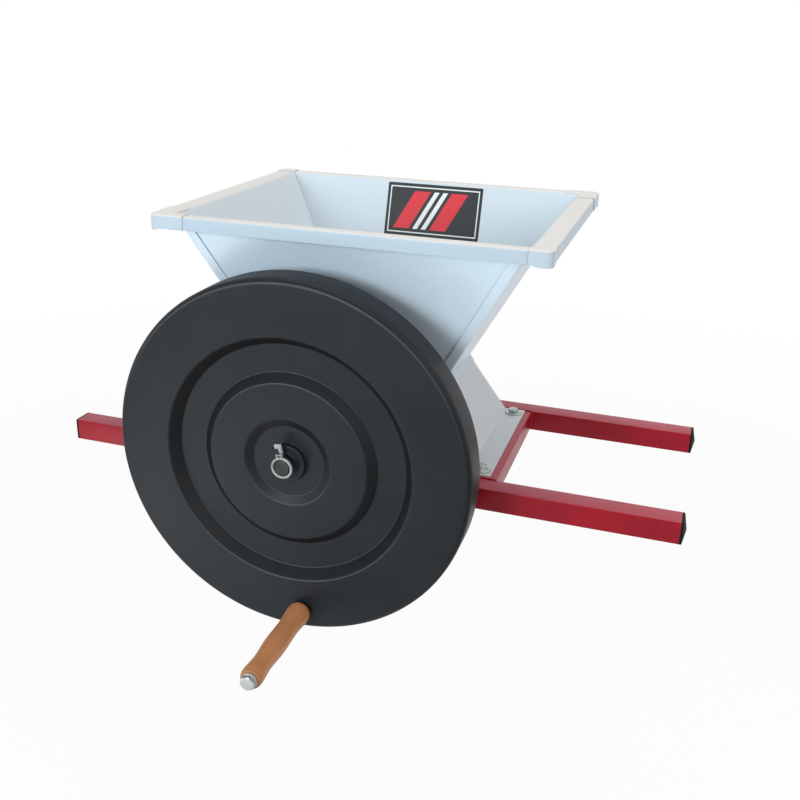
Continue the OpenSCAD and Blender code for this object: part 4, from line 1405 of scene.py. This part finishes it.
    def flange(self) -> Shell:
        """Upright corner of the right panel and the flange that it folds over the rear panel.

        At the neck and at the rim's underside the path runs level round the corner; rows join the two.

        Returns:
            The corner.
        """
        rows = []
        for z in (self.neck_z, self.top - self.sheet):
            out_x = self.half_x(z) + self.sheet * self.side_stretch
            out_y = self.half_y(z) + 2 * self.sheet * self.front_stretch
            in_y = self.half_y(z) + self.sheet * self.front_stretch
            tip = out_x - self.fold * self.side_stretch
            start = self.strip_start(z)
            outer = rounded_path([[out_x, start], [out_x, out_y], [tip, out_y]], self.bend)
            inner = rounded_path([[self.half_x(z), start], [self.half_x(z), in_y], [tip, in_y]],
                                 self.bend - self.sheet)
            rows.append([at_height(path, z) for path in (outer, inner)])
        (outer_low, inner_low), (outer_high, inner_high) = rows
        return Shell.slab(np.stack([outer_low, outer_high]), np.stack([inner_low, inner_high]))

    def corner_cover(self, longer: bool) -> Shell:
        """Thin cover over the rim's rear right corner.

        One parameter runs round the corner's outside; the other runs up the mouth's bend by an arc, over
        the top, round the outer edge by an arc about the outward normal, and down to the hanging edge. That
        edge drops smoothly towards the corner.

        Args:
            longer: Whether it has the longer legs, which hang low only at the corner itself.

        Returns:
            The cover.
        """
        legs = self.long_legs if longer else self.short_legs
        hook, fade = ((self.hook, self.hook), self.long_fade) if longer else (legs, self.short_fade)
        out_x, out_y = self.rim_hx + self.cover_t, self.rim_hy + self.cover_t
        path = rounded_path([[out_x, self.rim_hy - legs[1]], [out_x, out_y], [self.rim_hx - legs[0], out_y]],
                            self.cover_round, 16)
        length = run_length(path)[-1]
        outside = points_at(path, np.linspace(0, length, int(length) + 1))
        along = unit(np.gradient(outside, axis=0))
        normal = np.column_stack([along[:, 1], -along[:, 0]])
        bend = np.array([self.mouth_bend, self.mouth_bend / 2])
        flat_from = bend * np.tan((pi / 2 - np.arctan([self.side_slope, self.front_slope])) / 2)
        mouth = [np.minimum(outside, [self.mouth_hx, self.mouth_hy] + flat_from * share)
                 for share in (0, 0.5, 1)]
        sink = [(bend - np.sqrt(bend ** 2 - (flat_from * share) ** 2)).mean() for share in (1, 0.5, 0)]
        inside = (np.array(hook) - ([self.rim_hx, self.rim_hy] - outside)).min(axis=1)
        share = np.clip(inside / fade + longer, 0, 1)
        low = self.top - self.rim_drop - self.cover_hang * share * share * (3 - 2 * share)
        turn = np.linspace(0, pi / 2, 6)
        grids = []
        for inset, edge in ((0.0, self.cover_edge), (self.cover_t, self.cover_edge - self.cover_t)):
            rim = outside - normal * inset
            level = self.top + self.cover_t - inset
            back = edge * (1 - np.sin(turn))
            arc = rim[:, None] - normal[:, None] * back[None, :, None]
            flat = np.concatenate([np.stack(mouth, axis=1), arc, rim[:, None]], axis=1)
            fall = np.concatenate([sink, edge * (1 - np.cos(turn))])
            height = np.column_stack([np.tile(level - fall, (len(rim), 1)), low])
            grids.append(np.dstack([flat, height]))
        return Shell.slab(*grids)


@dataclass
class Sticker:
    """Plain vinyl sticker on the inner face of the hopper's rear wall."""

    shop: Workshop
    hopper: Hopper
    left: float = -65.0
    right: float = 83.0
    low: float = 273.0
    high: float = 349.3
    corner: float = 1.5
    thick: float = 0.2
    lift: float = 0.02

    def build(self) -> None:
        """Lays the sticker's outline on the wall and gives it a small thickness."""
        middle_x, middle_z = (self.left + self.right) / 2, (self.low + self.high) / 2
        width, height = self.right - self.left, self.high - self.low
        flat = oblong(width, height, self.corner) + [middle_x, middle_z]
        wall = self.hopper.half_y(flat[:, 1])
        sections = np.stack([np.column_stack([flat[:, 0], wall - out, flat[:, 1]])
                             for out in (self.lift, self.thick)])
        finish = Vinyl("sticker_vinyl", Slot.RIM, srgb(14, 15, 16), srgb(222, 32, 46), srgb(236, 238, 238),
                       Vector((middle_x, 0, middle_z)) * MM, width / 2, height / 2)
        self.shop.add("hopper_sticker", Shell.loft(sections), finish, Body.FRAME)


@dataclass
class Casing:
    """Lower casing: sloping sides with bolted flanges, and the plates that carry the bushes."""

    shop: Workshop
    hopper: Hopper
    enamel: Finish
    zinc: Finish
    thick: float = 2.0
    bend: float = 2.5
    columns: int = 7
    washer_d: float = 24.0
    washer_t: float = 2.0
    bolt_d: float = 8.0
    bolt_flats: float = 13.0
    bolt_head: float = 5.2
    bolt_play: float = 0.1
    washer_edge: float = 0.5
    first_turn: float = 17.0
    next_turn: float = 23.0

    def build(self) -> None:
        """Makes the sides and their fasteners, and finishes the plates and rivets."""
        for hand, side in (("left", -1), ("right", 1)):
            name = "casing_%s_panel" % hand
            low, high = node_box(name)
            end = max(high[0], -low[0])
            path = rounded_path([(self.hopper.neck_hx, self.hopper.neck_z),
                                 (self.hopper.base_hx, self.hopper.fold_z), (end, self.hopper.fold_z)],
                                self.bend, BEND_STEPS)
            reach = np.full(len(path), high[1])
            grids = [spanned(face, reach, 1, self.columns) for face in (path, offset_path(path, -self.thick))]
            self.shop.add("casing_%s_sheet" % hand, Shell.slab(*grids).on_side(0, side), self.enamel,
                          Body.FRAME, (name,), bevel=0.4)
        self.fasteners()
        self.shop.dress(self.enamel, "front_bearing_plate", "rear_bearing_plate")
        self.shop.dress(self.zinc, "neck_rivets", "flange_nuts")

    def fasteners(self) -> None:
        """Bolts with wide washers on the flanges, each head turned a little differently."""
        high = node_box("flange_washers")[1]
        x, y = high[0] - self.washer_d / 2, high[1] - self.washer_d / 2
        bottom = node_box("flange_bolts")[0][2]
        base, radius = self.hopper.fold_z, self.bolt_d / 2
        seat = base + self.washer_t
        shank = np.array([(0, -bottom), (radius, -bottom), (radius, -seat), (0, -seat)])
        ring = upright(washer(self.washer_d, self.bolt_d + self.bolt_play, self.washer_t, self.washer_edge))
        bolts, rings = [], []
        for i, (x_side, y_side) in enumerate(((-1, -1), (-1, 1), (1, -1), (1, 1))):
            head = upright(hex_prism(self.bolt_flats, self.bolt_head))
            head = head.spun(self.first_turn + self.next_turn * i, "Z").moved(0, 0, seat)
            bolts.append((upright(Shell.lathe(shank, 32)) + head).moved(x_side * x, y_side * y, 0))
            rings.append(ring.moved(x_side * x, y_side * y, base))
        self.shop.add("flange_bolt_set", Shell.joined(bolts), self.zinc, Body.FRAME, ("flange_bolts",),
                      sharp=25)
        self.shop.add("flange_washer_set", Shell.joined(rings), self.zinc, Body.FRAME, ("flange_washers",))


@dataclass
class Flywheel:
    """Moulded wheel: stepped face, round outer edge, ribbed back and a slotted hub."""

    shop: Workshop
    plastic: Finish
    wall: float = 4.0
    outer_edge: float = 8.0
    soft_edge: float = 5.0
    soft_foot: float = 2.5
    step_edge: float = 1.3
    nose: tuple[float, float] = (16.5, -1.0)
    boss: tuple[float, float] = (24.6, 1.7)
    floor: tuple[float, float] = (47.5, 9.5)
    raised_in: tuple[float, float] = (58.3, 3.5)
    raised_out: tuple[float, float] = (105.2, 3.5)
    recess_in: tuple[float, float] = (116.7, 14.0)
    recess_out: tuple[float, float] = (152.7, 14.0)
    outer_in: tuple[float, float] = (164.0, 0.0)
    hub_r: float = 30.0
    bore_r: float = 10.05
    ribs: int = 12
    rib_t: float = 3.0
    rib_depth: float = 32.0
    slot_half: float = 4.05
    slot_depth: float = 8.05
    handle_boss_r: float = 15.0
    handle_boss_len: float = 18.0
    handle_bore_r: float = 5.05
    handle_boss_from: float = 2.0
    floor_lap: float = 1.0
    floor_run: float = 6.0
    nose_foot: float = 0.6
    boss_foot: float = 1.5
    rim_run: float = 4.0
    rim_lip: float = 5.0
    rim_round: float = 1.6
    rib_lap: float = 1.0
    segments: int = 240

    def __post_init__(self) -> None:
        """Takes the wheel's place and outside from its solid, and the handle's from its grip."""
        low, high = node_box("flywheel")
        self.outside = (high[0] - low[0]) / 2
        self.axis_x, self.axis_z = (low[0] + high[0]) / 2, (low[2] + high[2]) / 2
        self.front = low[1] - self.nose[1]
        self.depth = high[1] - self.front
        self.rim_start = (self.outside, self.outer_edge + self.rim_run)
        grip_low, grip_high = node_box("handle_grip")
        self.handle_x, self.handle_z = ((grip_low + grip_high) / 2)[[0, 2]]

    def face(self) -> np.ndarray:
        """Front of the wheel, from the hub's floor to the start of the rim's side.

        Returns:
            Radius and depth of each point.
        """
        corners = [(self.boss[0] - self.floor_lap, self.floor[1]), self.floor, self.raised_in,
                   self.raised_out, self.recess_in, self.recess_out, self.outer_in, (self.outside, 0),
                   self.rim_start]
        edge, foot = self.soft_edge, self.soft_foot
        return rounded_path(corners, [0, foot, edge, edge, foot, foot, edge, self.outer_edge, 0], BEND_STEPS)

    def build(self) -> None:
        """Makes the wheel with its ribs and bosses as one moulding."""
        face = self.face()
        rear = offset_path(face, self.wall)
        inside = self.outside - self.wall
        web = rear[rear[:, 0] > self.hub_r]
        floor_end = self.boss[0] + self.floor_run
        slot_floor = self.depth - self.slot_depth
        profile = np.vstack([
            rounded_path([(self.bore_r, self.nose[1]), self.nose, (self.nose[0], self.boss[1]), self.boss,
                          (self.boss[0], self.floor[1]), (floor_end, self.floor[1])],
                         [0, self.step_edge, self.nose_foot, self.step_edge, self.boss_foot, 0], 5),
            face[face[:, 0] > floor_end],
            rounded_path([self.rim_start, (self.outside, self.depth), (inside, self.depth),
                          (inside, self.depth - self.rim_lip)], self.rim_round, 4)[1:],
            web[::-1],
            [(self.hub_r, web[0, 1]), (self.hub_r, slot_floor), (self.bore_r, slot_floor)],
        ])
        back = rear[rear[:, 0] > self.hub_r - self.rib_lap]
        moulding = [Shell.lathe(profile, self.segments)]
        moulding += [self.rib(back, i) for i in range(self.ribs)]
        moulding += [self.hub_half(1), self.hub_half(-1)]
        wheel = Shell.joined(moulding).moved(self.axis_x, self.front, self.axis_z)
        near, far = self.handle_boss_from, self.handle_boss_len
        boss = np.array([(self.handle_bore_r, near), (self.handle_boss_r, near), (self.handle_boss_r, far),
                         (self.handle_bore_r, far)])
        wheel = wheel + Shell.lathe(boss, 48).moved(self.handle_x, self.front, self.handle_z)
        self.shop.add("flywheel_moulding", wheel, self.plastic, Body.DRIVE, ("flywheel",), sharp=38)

    def rib(self, web: np.ndarray, index: int) -> Shell:
        """One rib: a plate from the web's back to the ribs' rear edge, along a radius.

        Args:
            web: Radius and depth of the web's back.
            index: The rib's number, counted from the handle.

        Returns:
            The rib.
        """
        step = 2 * pi / self.ribs
        angle = np.arctan2(self.handle_z - self.axis_z, self.handle_x - self.axis_x) + (index + 0.5) * step
        radius = web[:, 0]
        near = np.minimum(web[:, 1] - self.wall / 2, self.rib_depth - self.rib_lap)
        depth = np.stack([near, near * 0 + self.rib_depth], -1)
        along, across = np.array([cos(angle), sin(angle)]), np.array([-sin(angle), cos(angle)])
        sides = []
        for half in (-self.rib_t / 2, self.rib_t / 2):
            flat = radius[:, None, None] * along + half * across + 0 * depth[..., None]
            sides.append(np.stack([flat[..., 0], depth, flat[..., 1]], -1))
        return Shell.slab(*sides)

    def hub_half(self, side: int) -> Shell:
        """Half of the hub's slotted end: rings whose angle stops at the slot's side.

        Args:
            side: 1 for the half towards +X, -1 for the other.

        Returns:
            The half.
        """
        radius = np.linspace(self.bore_r, self.hub_r, 6)[:, None]
        angle = np.arccos(self.slot_half / radius) * np.linspace(-1, 1, 25)[None, :]
        flat_x, flat_z = side * radius * np.cos(angle), radius * np.sin(angle)
        ends = [np.stack([flat_x, 0 * flat_x + place, flat_z], -1)
                for place in (self.depth - self.slot_depth, self.depth)]
        return Shell.slab(*ends)


@dataclass
class Handle:
    """Turned grip on a long bolt, with its washers and the nut behind the wheel."""

    shop: Workshop
    zinc: Finish
    bolt_d: float = 10.0
    flats: float = 17.0
    head: float = 6.4
    washer_t: float = 2.0
    washer_d: float = 20.0
    nut_t: float = 8.0
    pitch: float = 1.5
    play: float = 0.05
    head_turn: float = 12.0
    stations: tuple[tuple[float, float], ...] = (
        (0.0, 24.4), (0.06, 30.5), (0.27, 27.0), (0.52, 28.5), (0.78, 25.0), (0.95, 28.0), (1.0, 24.1))

    def __post_init__(self) -> None:
        """Takes the grip's axis and ends from its solid."""
        low, high = node_box("handle_grip")
        self.x, self.z = ((low + high) / 2)[[0, 2]]
        self.base, self.tip = high[1], low[1]
        self.end = node_box("handle_bolt")[1][1]
        self.nut = node_box("handle_nut")[0][1]

    def build(self) -> None:
        """Makes the grip, the bolt, the washers and the nut."""
        wood = TurnedWood("oiled_wood", Slot.WOOD, srgb(197, 137, 93), srgb(167, 102, 62),
                          Vector((self.x, 0, self.z)) * MM, self.tip, self.base)
        self.shop.add("handle_grip_turned", self.grip().moved(self.x, 0, self.z), wood, Body.GRIP,
                      ("handle_grip",), sharp=50)
        seat, foot = (corner[1] for corner in node_box("handle_washers"))
        radius, bore = self.bolt_d / 2, self.bolt_d + 2 * self.play
        shank = np.array([(0, seat), (radius, seat), (radius, self.nut), (0, self.nut)])
        head = hex_prism(self.flats, self.head).spun(self.head_turn, "Y").moved(0, seat, 0)
        thread = threaded(self.bolt_d, self.end - self.nut, self.pitch).moved(0, self.nut, 0)
        ring = washer(self.washer_d, bore, self.washer_t)
        nut = hex_prism(self.flats, self.nut_t, bore, both_ends=True).moved(0, self.nut + self.nut_t, 0)
        for name, node, shell, sharp in (
                ("handle_bolt_forged", "handle_bolt", Shell.lathe(shank, 48) + head + thread, 25),
                ("handle_washer_pair", "handle_washers",
                 ring.moved(0, seat + self.washer_t, 0) + ring.moved(0, foot, 0), 40),
                ("handle_nut_forged", "handle_nut", nut, 25)):
            self.shop.add(name, shell.moved(self.x, 0, self.z), self.zinc, Body.DRIVE, (node,), sharp=sharp)

    def grip(self) -> Shell:
        """Grip turned round its axis: stations joined by half cosine waves, with quarter-round ends.

        Returns:
            The grip.
        """
        place, width = np.array(self.stations).T
        share = np.linspace(0, 1, 20, endpoint=False)
        wave = (1 - np.cos(pi * share)) / 2
        first, last = np.sqrt(1 - (1 - share) ** 2), 1 - np.sqrt(1 - share ** 2)
        blend = np.vstack([first, np.tile(wave, (len(place) - 3, 1)), last])
        along = (place[:-1, None] + np.diff(place)[:, None] * share).ravel()
        radius = ((width[:-1, None] + np.diff(width)[:, None] * blend) / 2).ravel()
        outline = np.column_stack([np.append(radius, width[-1] / 2),
                                   self.base + (self.tip - self.base) * np.append(along, 1.0)])
        bore = self.bolt_d / 2 + self.play
        return Shell.lathe(np.vstack([[bore, self.base], outline, [bore, self.tip]]), 96)


@dataclass
class LinchPin:
    """Pin through the shaft's end, with a flag on top and a sprung ring round the shaft."""

    shop: Workshop
    zinc: Finish
    pin_d: float = 6.0
    up: float = 30.0
    down: float = 15.0
    lean: float = 11.0
    shaft_d: float = 20.0
    ring_d: float = 29.0
    ring_t: float = 4.8
    ring_gap: float = 0.7
    ring_seat: float = 0.2
    hinge_rise: float = 1.8
    hinge_d: float = 2.4
    hinge_stub: float = 0.6
    eye_d: float = 4.6
    eye_w: float = 2.4
    block_w: float = 3.6
    eye_gap: float = 0.3
    eye_play: float = 0.05
    eye_round: float = 0.35
    foot_gap: float = 0.2
    foot_edge: float = 0.5
    ring_round: float = 1.4
    rod_edge: float = 0.3
    flag_edge: float = 1.0
    flag_x: tuple[float, float] = (-1.15, 0.15)
    flag_y: tuple[float, float] = (-0.43, 0.43)
    flag_h: float = 1.1
    tip: tuple[tuple[float, float], ...] = ((0.0, 0.0), (0.45, 0.2), (0.8, 1.2), (1.0, 3.0))
    crown: tuple[tuple[float, float], ...] = ((1.0, 1.0), (0.9, 0.3), (0.6, 0.0), (0.0, 0.0))

    def __post_init__(self) -> None:
        """Takes the pin's place from the shaft and the pin's solid."""
        low, high = node_box("drive_shaft")
        self.axis_x, self.axis_z = (low[0] + high[0]) / 2, (low[2] + high[2]) / 2
        self.y = node_box("linch_pin")[1][1] - self.pin_d / 2
        self.hinge_y = -(self.pin_d + self.ring_t) / 2 - self.ring_seat
        self.hinge_z = self.ring_d / 2 + self.hinge_rise

    def placed(self, shell: Shell) -> Shell:
        """Leans a shape and moves it to the shaft's end."""
        return shell.spun(-self.lean, "Y").moved(self.axis_x, self.y, self.axis_z)

    def build(self) -> None:
        """Makes the pin with its flag and hinge, and the ring with its eyes."""
        radius = self.pin_d / 2
        profile = [(share * radius, self.down - rise) for share, rise in self.tip]
        profile += [(share * radius, fall - self.up) for share, fall in self.crown]
        pin = upright(Shell.lathe(np.array(profile), 48))
        flag_x, flag_y = np.array([self.flag_x, self.flag_y]) * self.pin_d
        flag = block(flag_x, flag_y, (self.up - self.flag_h * self.pin_d, self.up), self.flag_edge)
        rod_r = self.hinge_d / 2
        hinge = block((-self.block_w / 2, self.block_w / 2), (self.hinge_y, 0),
                      (self.hinge_z - rod_r, self.hinge_z + rod_r), self.foot_edge)
        half = self.block_w / 2 + self.eye_w + self.hinge_stub
        chamfer_r, chamfer = rod_r - self.rod_edge, half - self.rod_edge
        rod = np.array([(0, -half), (chamfer_r, -half), (rod_r, -chamfer),
                        (rod_r, chamfer), (chamfer_r, half), (0, half)])
        pin = pin + flag + hinge + along_x(Shell.lathe(rod, 32)).moved(0, self.hinge_y, self.hinge_z)
        for name, node, shell, body in (("linch_pin_forged", "linch_pin", pin, Body.DRIVE),
                                        ("linch_ring_sprung", "linch_ring", self.ring(), Body.RING)):
            self.shop.add(name, self.placed(shell), self.zinc, body, (node,), sharp=35)

    def ring(self) -> Shell:
        """Ring of rounded section round the shaft, and two eyes on the hinge rod.

        Returns:
            The ring.
        """
        inner = self.shaft_d / 2 + self.ring_gap
        outer, half = self.ring_d / 2, self.ring_t / 2
        section = rounded_path([(inner, -half), (outer, -half), (outer, half), (inner, half)],
                               self.ring_round, 6, closed=True)
        ring = Shell.lathe(section, 96).moved(0, self.hinge_y, 0)
        bore, size = self.hinge_d / 2 + self.eye_play, self.eye_d / 2
        eye = rounded_path([(bore, 0), (size, 0), (size, self.eye_w), (bore, self.eye_w)], self.eye_round, 3,
                           closed=True)
        start = self.block_w / 2 + self.eye_gap
        foot = self.hinge_z - (inner + outer) / 2
        for place in (-start - self.eye_w, start):
            ring = ring + along_x(Shell.lathe(eye, 40)).moved(place, self.hinge_y, self.hinge_z)
            ring = ring + block((place, place + self.eye_w), (self.hinge_y - half, self.hinge_y + half),
                                (self.hinge_z - foot, self.hinge_z - bore - self.foot_gap), self.foot_edge)
        return ring


@dataclass
class Works:
    """Rollers, shafts, gears, bushes and their pins, shown by their own solids."""

    shop: Workshop
    zinc: Finish
    steel: Finish
    aluminium: Finish
    nylon: Finish

    def build(self) -> None:
        """Finishes each solid of both trains and their bearings."""
        for train in ("drive", "driven"):
            self.shop.dress(self.steel, train + "_shaft", train + "_collar_screw")
            self.shop.dress(self.aluminium, train + "_roller")
            self.shop.dress(self.nylon, train + "_gear", "front_%s_bush" % train, "rear_%s_bush" % train)
            self.shop.dress(self.zinc, train + "_roller_pins", train + "_gear_pin", train + "_spacer",
                            train + "_collar")
        self.shop.dress(self.zinc, "bush_screws", "bush_nuts", "flywheel_spacer")
        self.shop.dress(self.steel, "flywheel_dog_pin")


@dataclass(frozen=True)
class Lamp:
    """A square soft light: its name, place, width, power in watts and colour."""

    name: str
    place: tuple[float, float, float]
    size: float
    power: float
    colour: tuple[float, float, float] = (1.0, 1.0, 1.0)


@dataclass
class Studio:
    """Camera at the photograph's place, soft lights, white surround and a pale floor."""

    eye: Vector = Vector((399.66, -1223.8, 593.41))
    right: Vector = Vector((0.94652, 0.32201, 0.02022))
    above: Vector = Vector((-0.13360, 0.33413, 0.93301))
    ahead: Vector = Vector((-0.29368, 0.88581, -0.35928))
    lens: float = 43.17
    far: float = 100.0
    sensor: float = 36.0
    shift: tuple[float, float] = (0.0199, -0.025)
    floor_z: float = -620.0
    floor_half: float = 6000.0
    paper: Colour = (0.9, 0.9, 0.9, 1.0)
    near_white: float = 0.92
    fade_from: float = 900.0
    fade_to: float = 3200.0
    ambient: float = 0.3
    ambient_colour: Colour = (0.97, 0.99, 1.0, 1.0)
    aim: Vector = Vector((0, -60, 130))
    lamps: tuple[Lamp, ...] = (
        Lamp("front", (-900, -2700, 850), 900, 44.0, (0.83, 0.94, 1.0)),
        Lamp("low_left", (-700, -1080, -590), 500, 5.0),
        Lamp("right", (1900, -900, 1500), 1800, 21.0, (1.0, 0.98, 0.96)),
        Lamp("top", (100, 300, 2600), 2400, 30.0, (1.0, 0.95, 0.87)),
        Lamp("high_left", (-1300, -1700, 2000), 2000, 2.0, (1.0, 0.95, 0.87)),
    )

    def build(self) -> None:
        """Sets up the view, the lights, the surround and the floor."""
        scene = bpy.context.scene
        scene.view_settings.view_transform = "Standard"
        self.camera(scene)
        for lamp in self.lamps:
            self.light(scene, lamp)
        self.surround(scene)
        self.floor(scene)

    def camera(self, scene: bpy.types.Scene) -> None:
        """Places the camera by its eye point and its right, up and view directions.

        Args:
            scene: The scene.
        """
        data = bpy.data.cameras.new("view")
        data.lens, data.sensor_width = self.lens, self.sensor
        data.shift_x, data.shift_y = self.shift
        data.clip_end = self.far
        view = bpy.data.objects.new("view", data)
        turn = Matrix((self.right, self.above, -self.ahead)).transposed()
        view.matrix_world = Matrix.Translation(self.eye * MM) @ turn.to_4x4()
        scene.collection.objects.link(view)
        scene.camera = view

    def light(self, scene: bpy.types.Scene, lamp: Lamp) -> None:
        """Sets up a square soft light that looks at the middle of the object.

        Args:
            scene: The scene.
            lamp: The light's values.
        """
        data = bpy.data.lights.new(lamp.name, "AREA")
        data.size, data.energy, data.color = lamp.size * MM, lamp.power, lamp.colour
        light = bpy.data.objects.new(lamp.name, data)
        light.visible_camera = False
        light.location = Vector(lamp.place) * MM
        light.rotation_euler = (Vector(lamp.place) - self.aim).to_track_quat("Z", "Y").to_euler()
        scene.collection.objects.link(light)

    def surround(self, scene: bpy.types.Scene) -> None:
        """White where the camera, gloss or glass look at it, and dimmer as light.

        Args:
            scene: The scene.
        """
        world = bpy.data.worlds.new("surround")
        scene.world = world
        shader = Shader("surround", world)
        white = shader.make("ShaderNodeBackground", sockets={"Color": WHITE, "Strength": 1.0})
        light = shader.make("ShaderNodeBackground", sockets={"Color": self.ambient_colour,
                                                              "Strength": self.ambient})
        both = shader.make("ShaderNodeMixShader", sockets={0: shader.seen(), 1: light, 2: white})
        shader.make("ShaderNodeOutputWorld", sockets={"Surface": both})

    def floor(self, scene: bpy.types.Scene) -> None:
        """Level pale floor that keeps the object's shadow, and far from it fades to the surround's white.

        Args:
            scene: The scene.
        """
        size, level = self.floor_half * MM, self.floor_z * MM
        mesh = bpy.data.meshes.new("floor")
        corners = [(-size, -size, level), (size, -size, level), (size, size, level), (-size, size, level)]
        mesh.from_pydata(corners, [], [(0, 1, 2, 3)])
        plane = bpy.data.objects.new("floor", mesh)
        scene.collection.objects.link(plane)
        shader = Shader("floor_pale")
        paper = shader.make("ShaderNodeBsdfDiffuse", sockets={"Color": self.paper})
        glow = shader.make("ShaderNodeEmission", sockets={"Color": WHITE, "Strength": 1.0})
        across, ahead = shader.axis(0), shader.axis(1)
        far = (across * across + ahead * ahead).root().step(self.fade_from * MM, self.fade_to * MM)
        share = shader.seen() * (self.near_white + far * (1 - self.near_white))
        both = shader.make("ShaderNodeMixShader", sockets={0: share, 1: paper, 2: glow})
        shader.make("ShaderNodeOutputMaterial", sockets={"Surface": both})
        mesh.materials.append(shader.material)


def main() -> None:
    """Builds every sub-assembly in order, then the studio."""
    logging.basicConfig(level=logging.INFO, format="%(name)s: %(message)s")
    shop = Workshop()
    rim = tuple(node_box("hopper_right_panel")[1])
    enamel = Enamel("cool_white_enamel", Slot.HOPPER, srgb(217, 231, 242), srgb(209, 224, 237), rim,
                    rim_top_painted_light=srgb(220, 218, 217), lip_painted_shade=srgb(184, 199, 211),
                    upward_painted_shade=srgb(209, 219, 225))
    white = Enamel("warm_white_enamel", Slot.RIM, srgb(190, 203, 213), srgb(185, 199, 210), rim,
                   rim_top_painted_light=srgb(220, 218, 216), rim_depths=(1.4, 0.4))
    grey = Enamel("grey_enamel", Slot.CASING, srgb(212, 216, 219), srgb(203, 208, 212))
    paint = TubePaint("red_tube_paint", Slot.FRAME, srgb(155, 6, 31), srgb(140, 5, 27), srgb(130, 70, 74))
    cap = Plastic("black_cap_plastic", Slot.CAP, srgb(16, 18, 18), srgb(40, 43, 43), rough=0.6, specular=0.1)
    wheel = Plastic("black_wheel_plastic", Slot.FLYWHEEL, srgb(21, 25, 29), srgb(38, 42, 46), rough=0.46,
                    painted_step_shading=True)
    zinc = Metal("bright_zinc", Slot.ZINC, srgb(206, 209, 209), srgb(172, 176, 178))
    dull = Metal("dull_zinc", Slot.ZINC, srgb(176, 183, 182), srgb(146, 152, 152), rough=0.36)
    worn = Metal("worn_zinc", Slot.ZINC, srgb(140, 146, 145), srgb(112, 117, 117), rough=0.42)
    steel = Metal("oiled_steel", Slot.SHAFT, srgb(62, 66, 65), srgb(48, 51, 50), rough=0.45)
    aluminium = Metal("cast_aluminium", Slot.ROLLER, srgb(200, 201, 202), srgb(160, 162, 163), rough=0.45,
                      pits=1.0, streaks=Pattern(260.0, 3.0, 0.6, stretch=(1.0, 0.1, 1.0)))
    nylon = Nylon("turned_nylon", Slot.NYLON, srgb(228, 222, 204), srgb(150, 138, 112))
    hopper = Hopper(shop, enamel, white)
    assemblies = (TubeFrame(shop, paint, cap), hopper, Sticker(shop, hopper),
                  Casing(shop, hopper, grey, dull), Works(shop, zinc, steel, aluminium, nylon),
                  Flywheel(shop, wheel), LinchPin(shop, worn), Handle(shop, dull))
    for assembly in assemblies:
        assembly.build()
        LOG.info("%s ready", type(assembly).__name__)
    Studio().build()
    LOG.info("%d pieces made", shop.made)


if __name__ == "__main__":
    main()
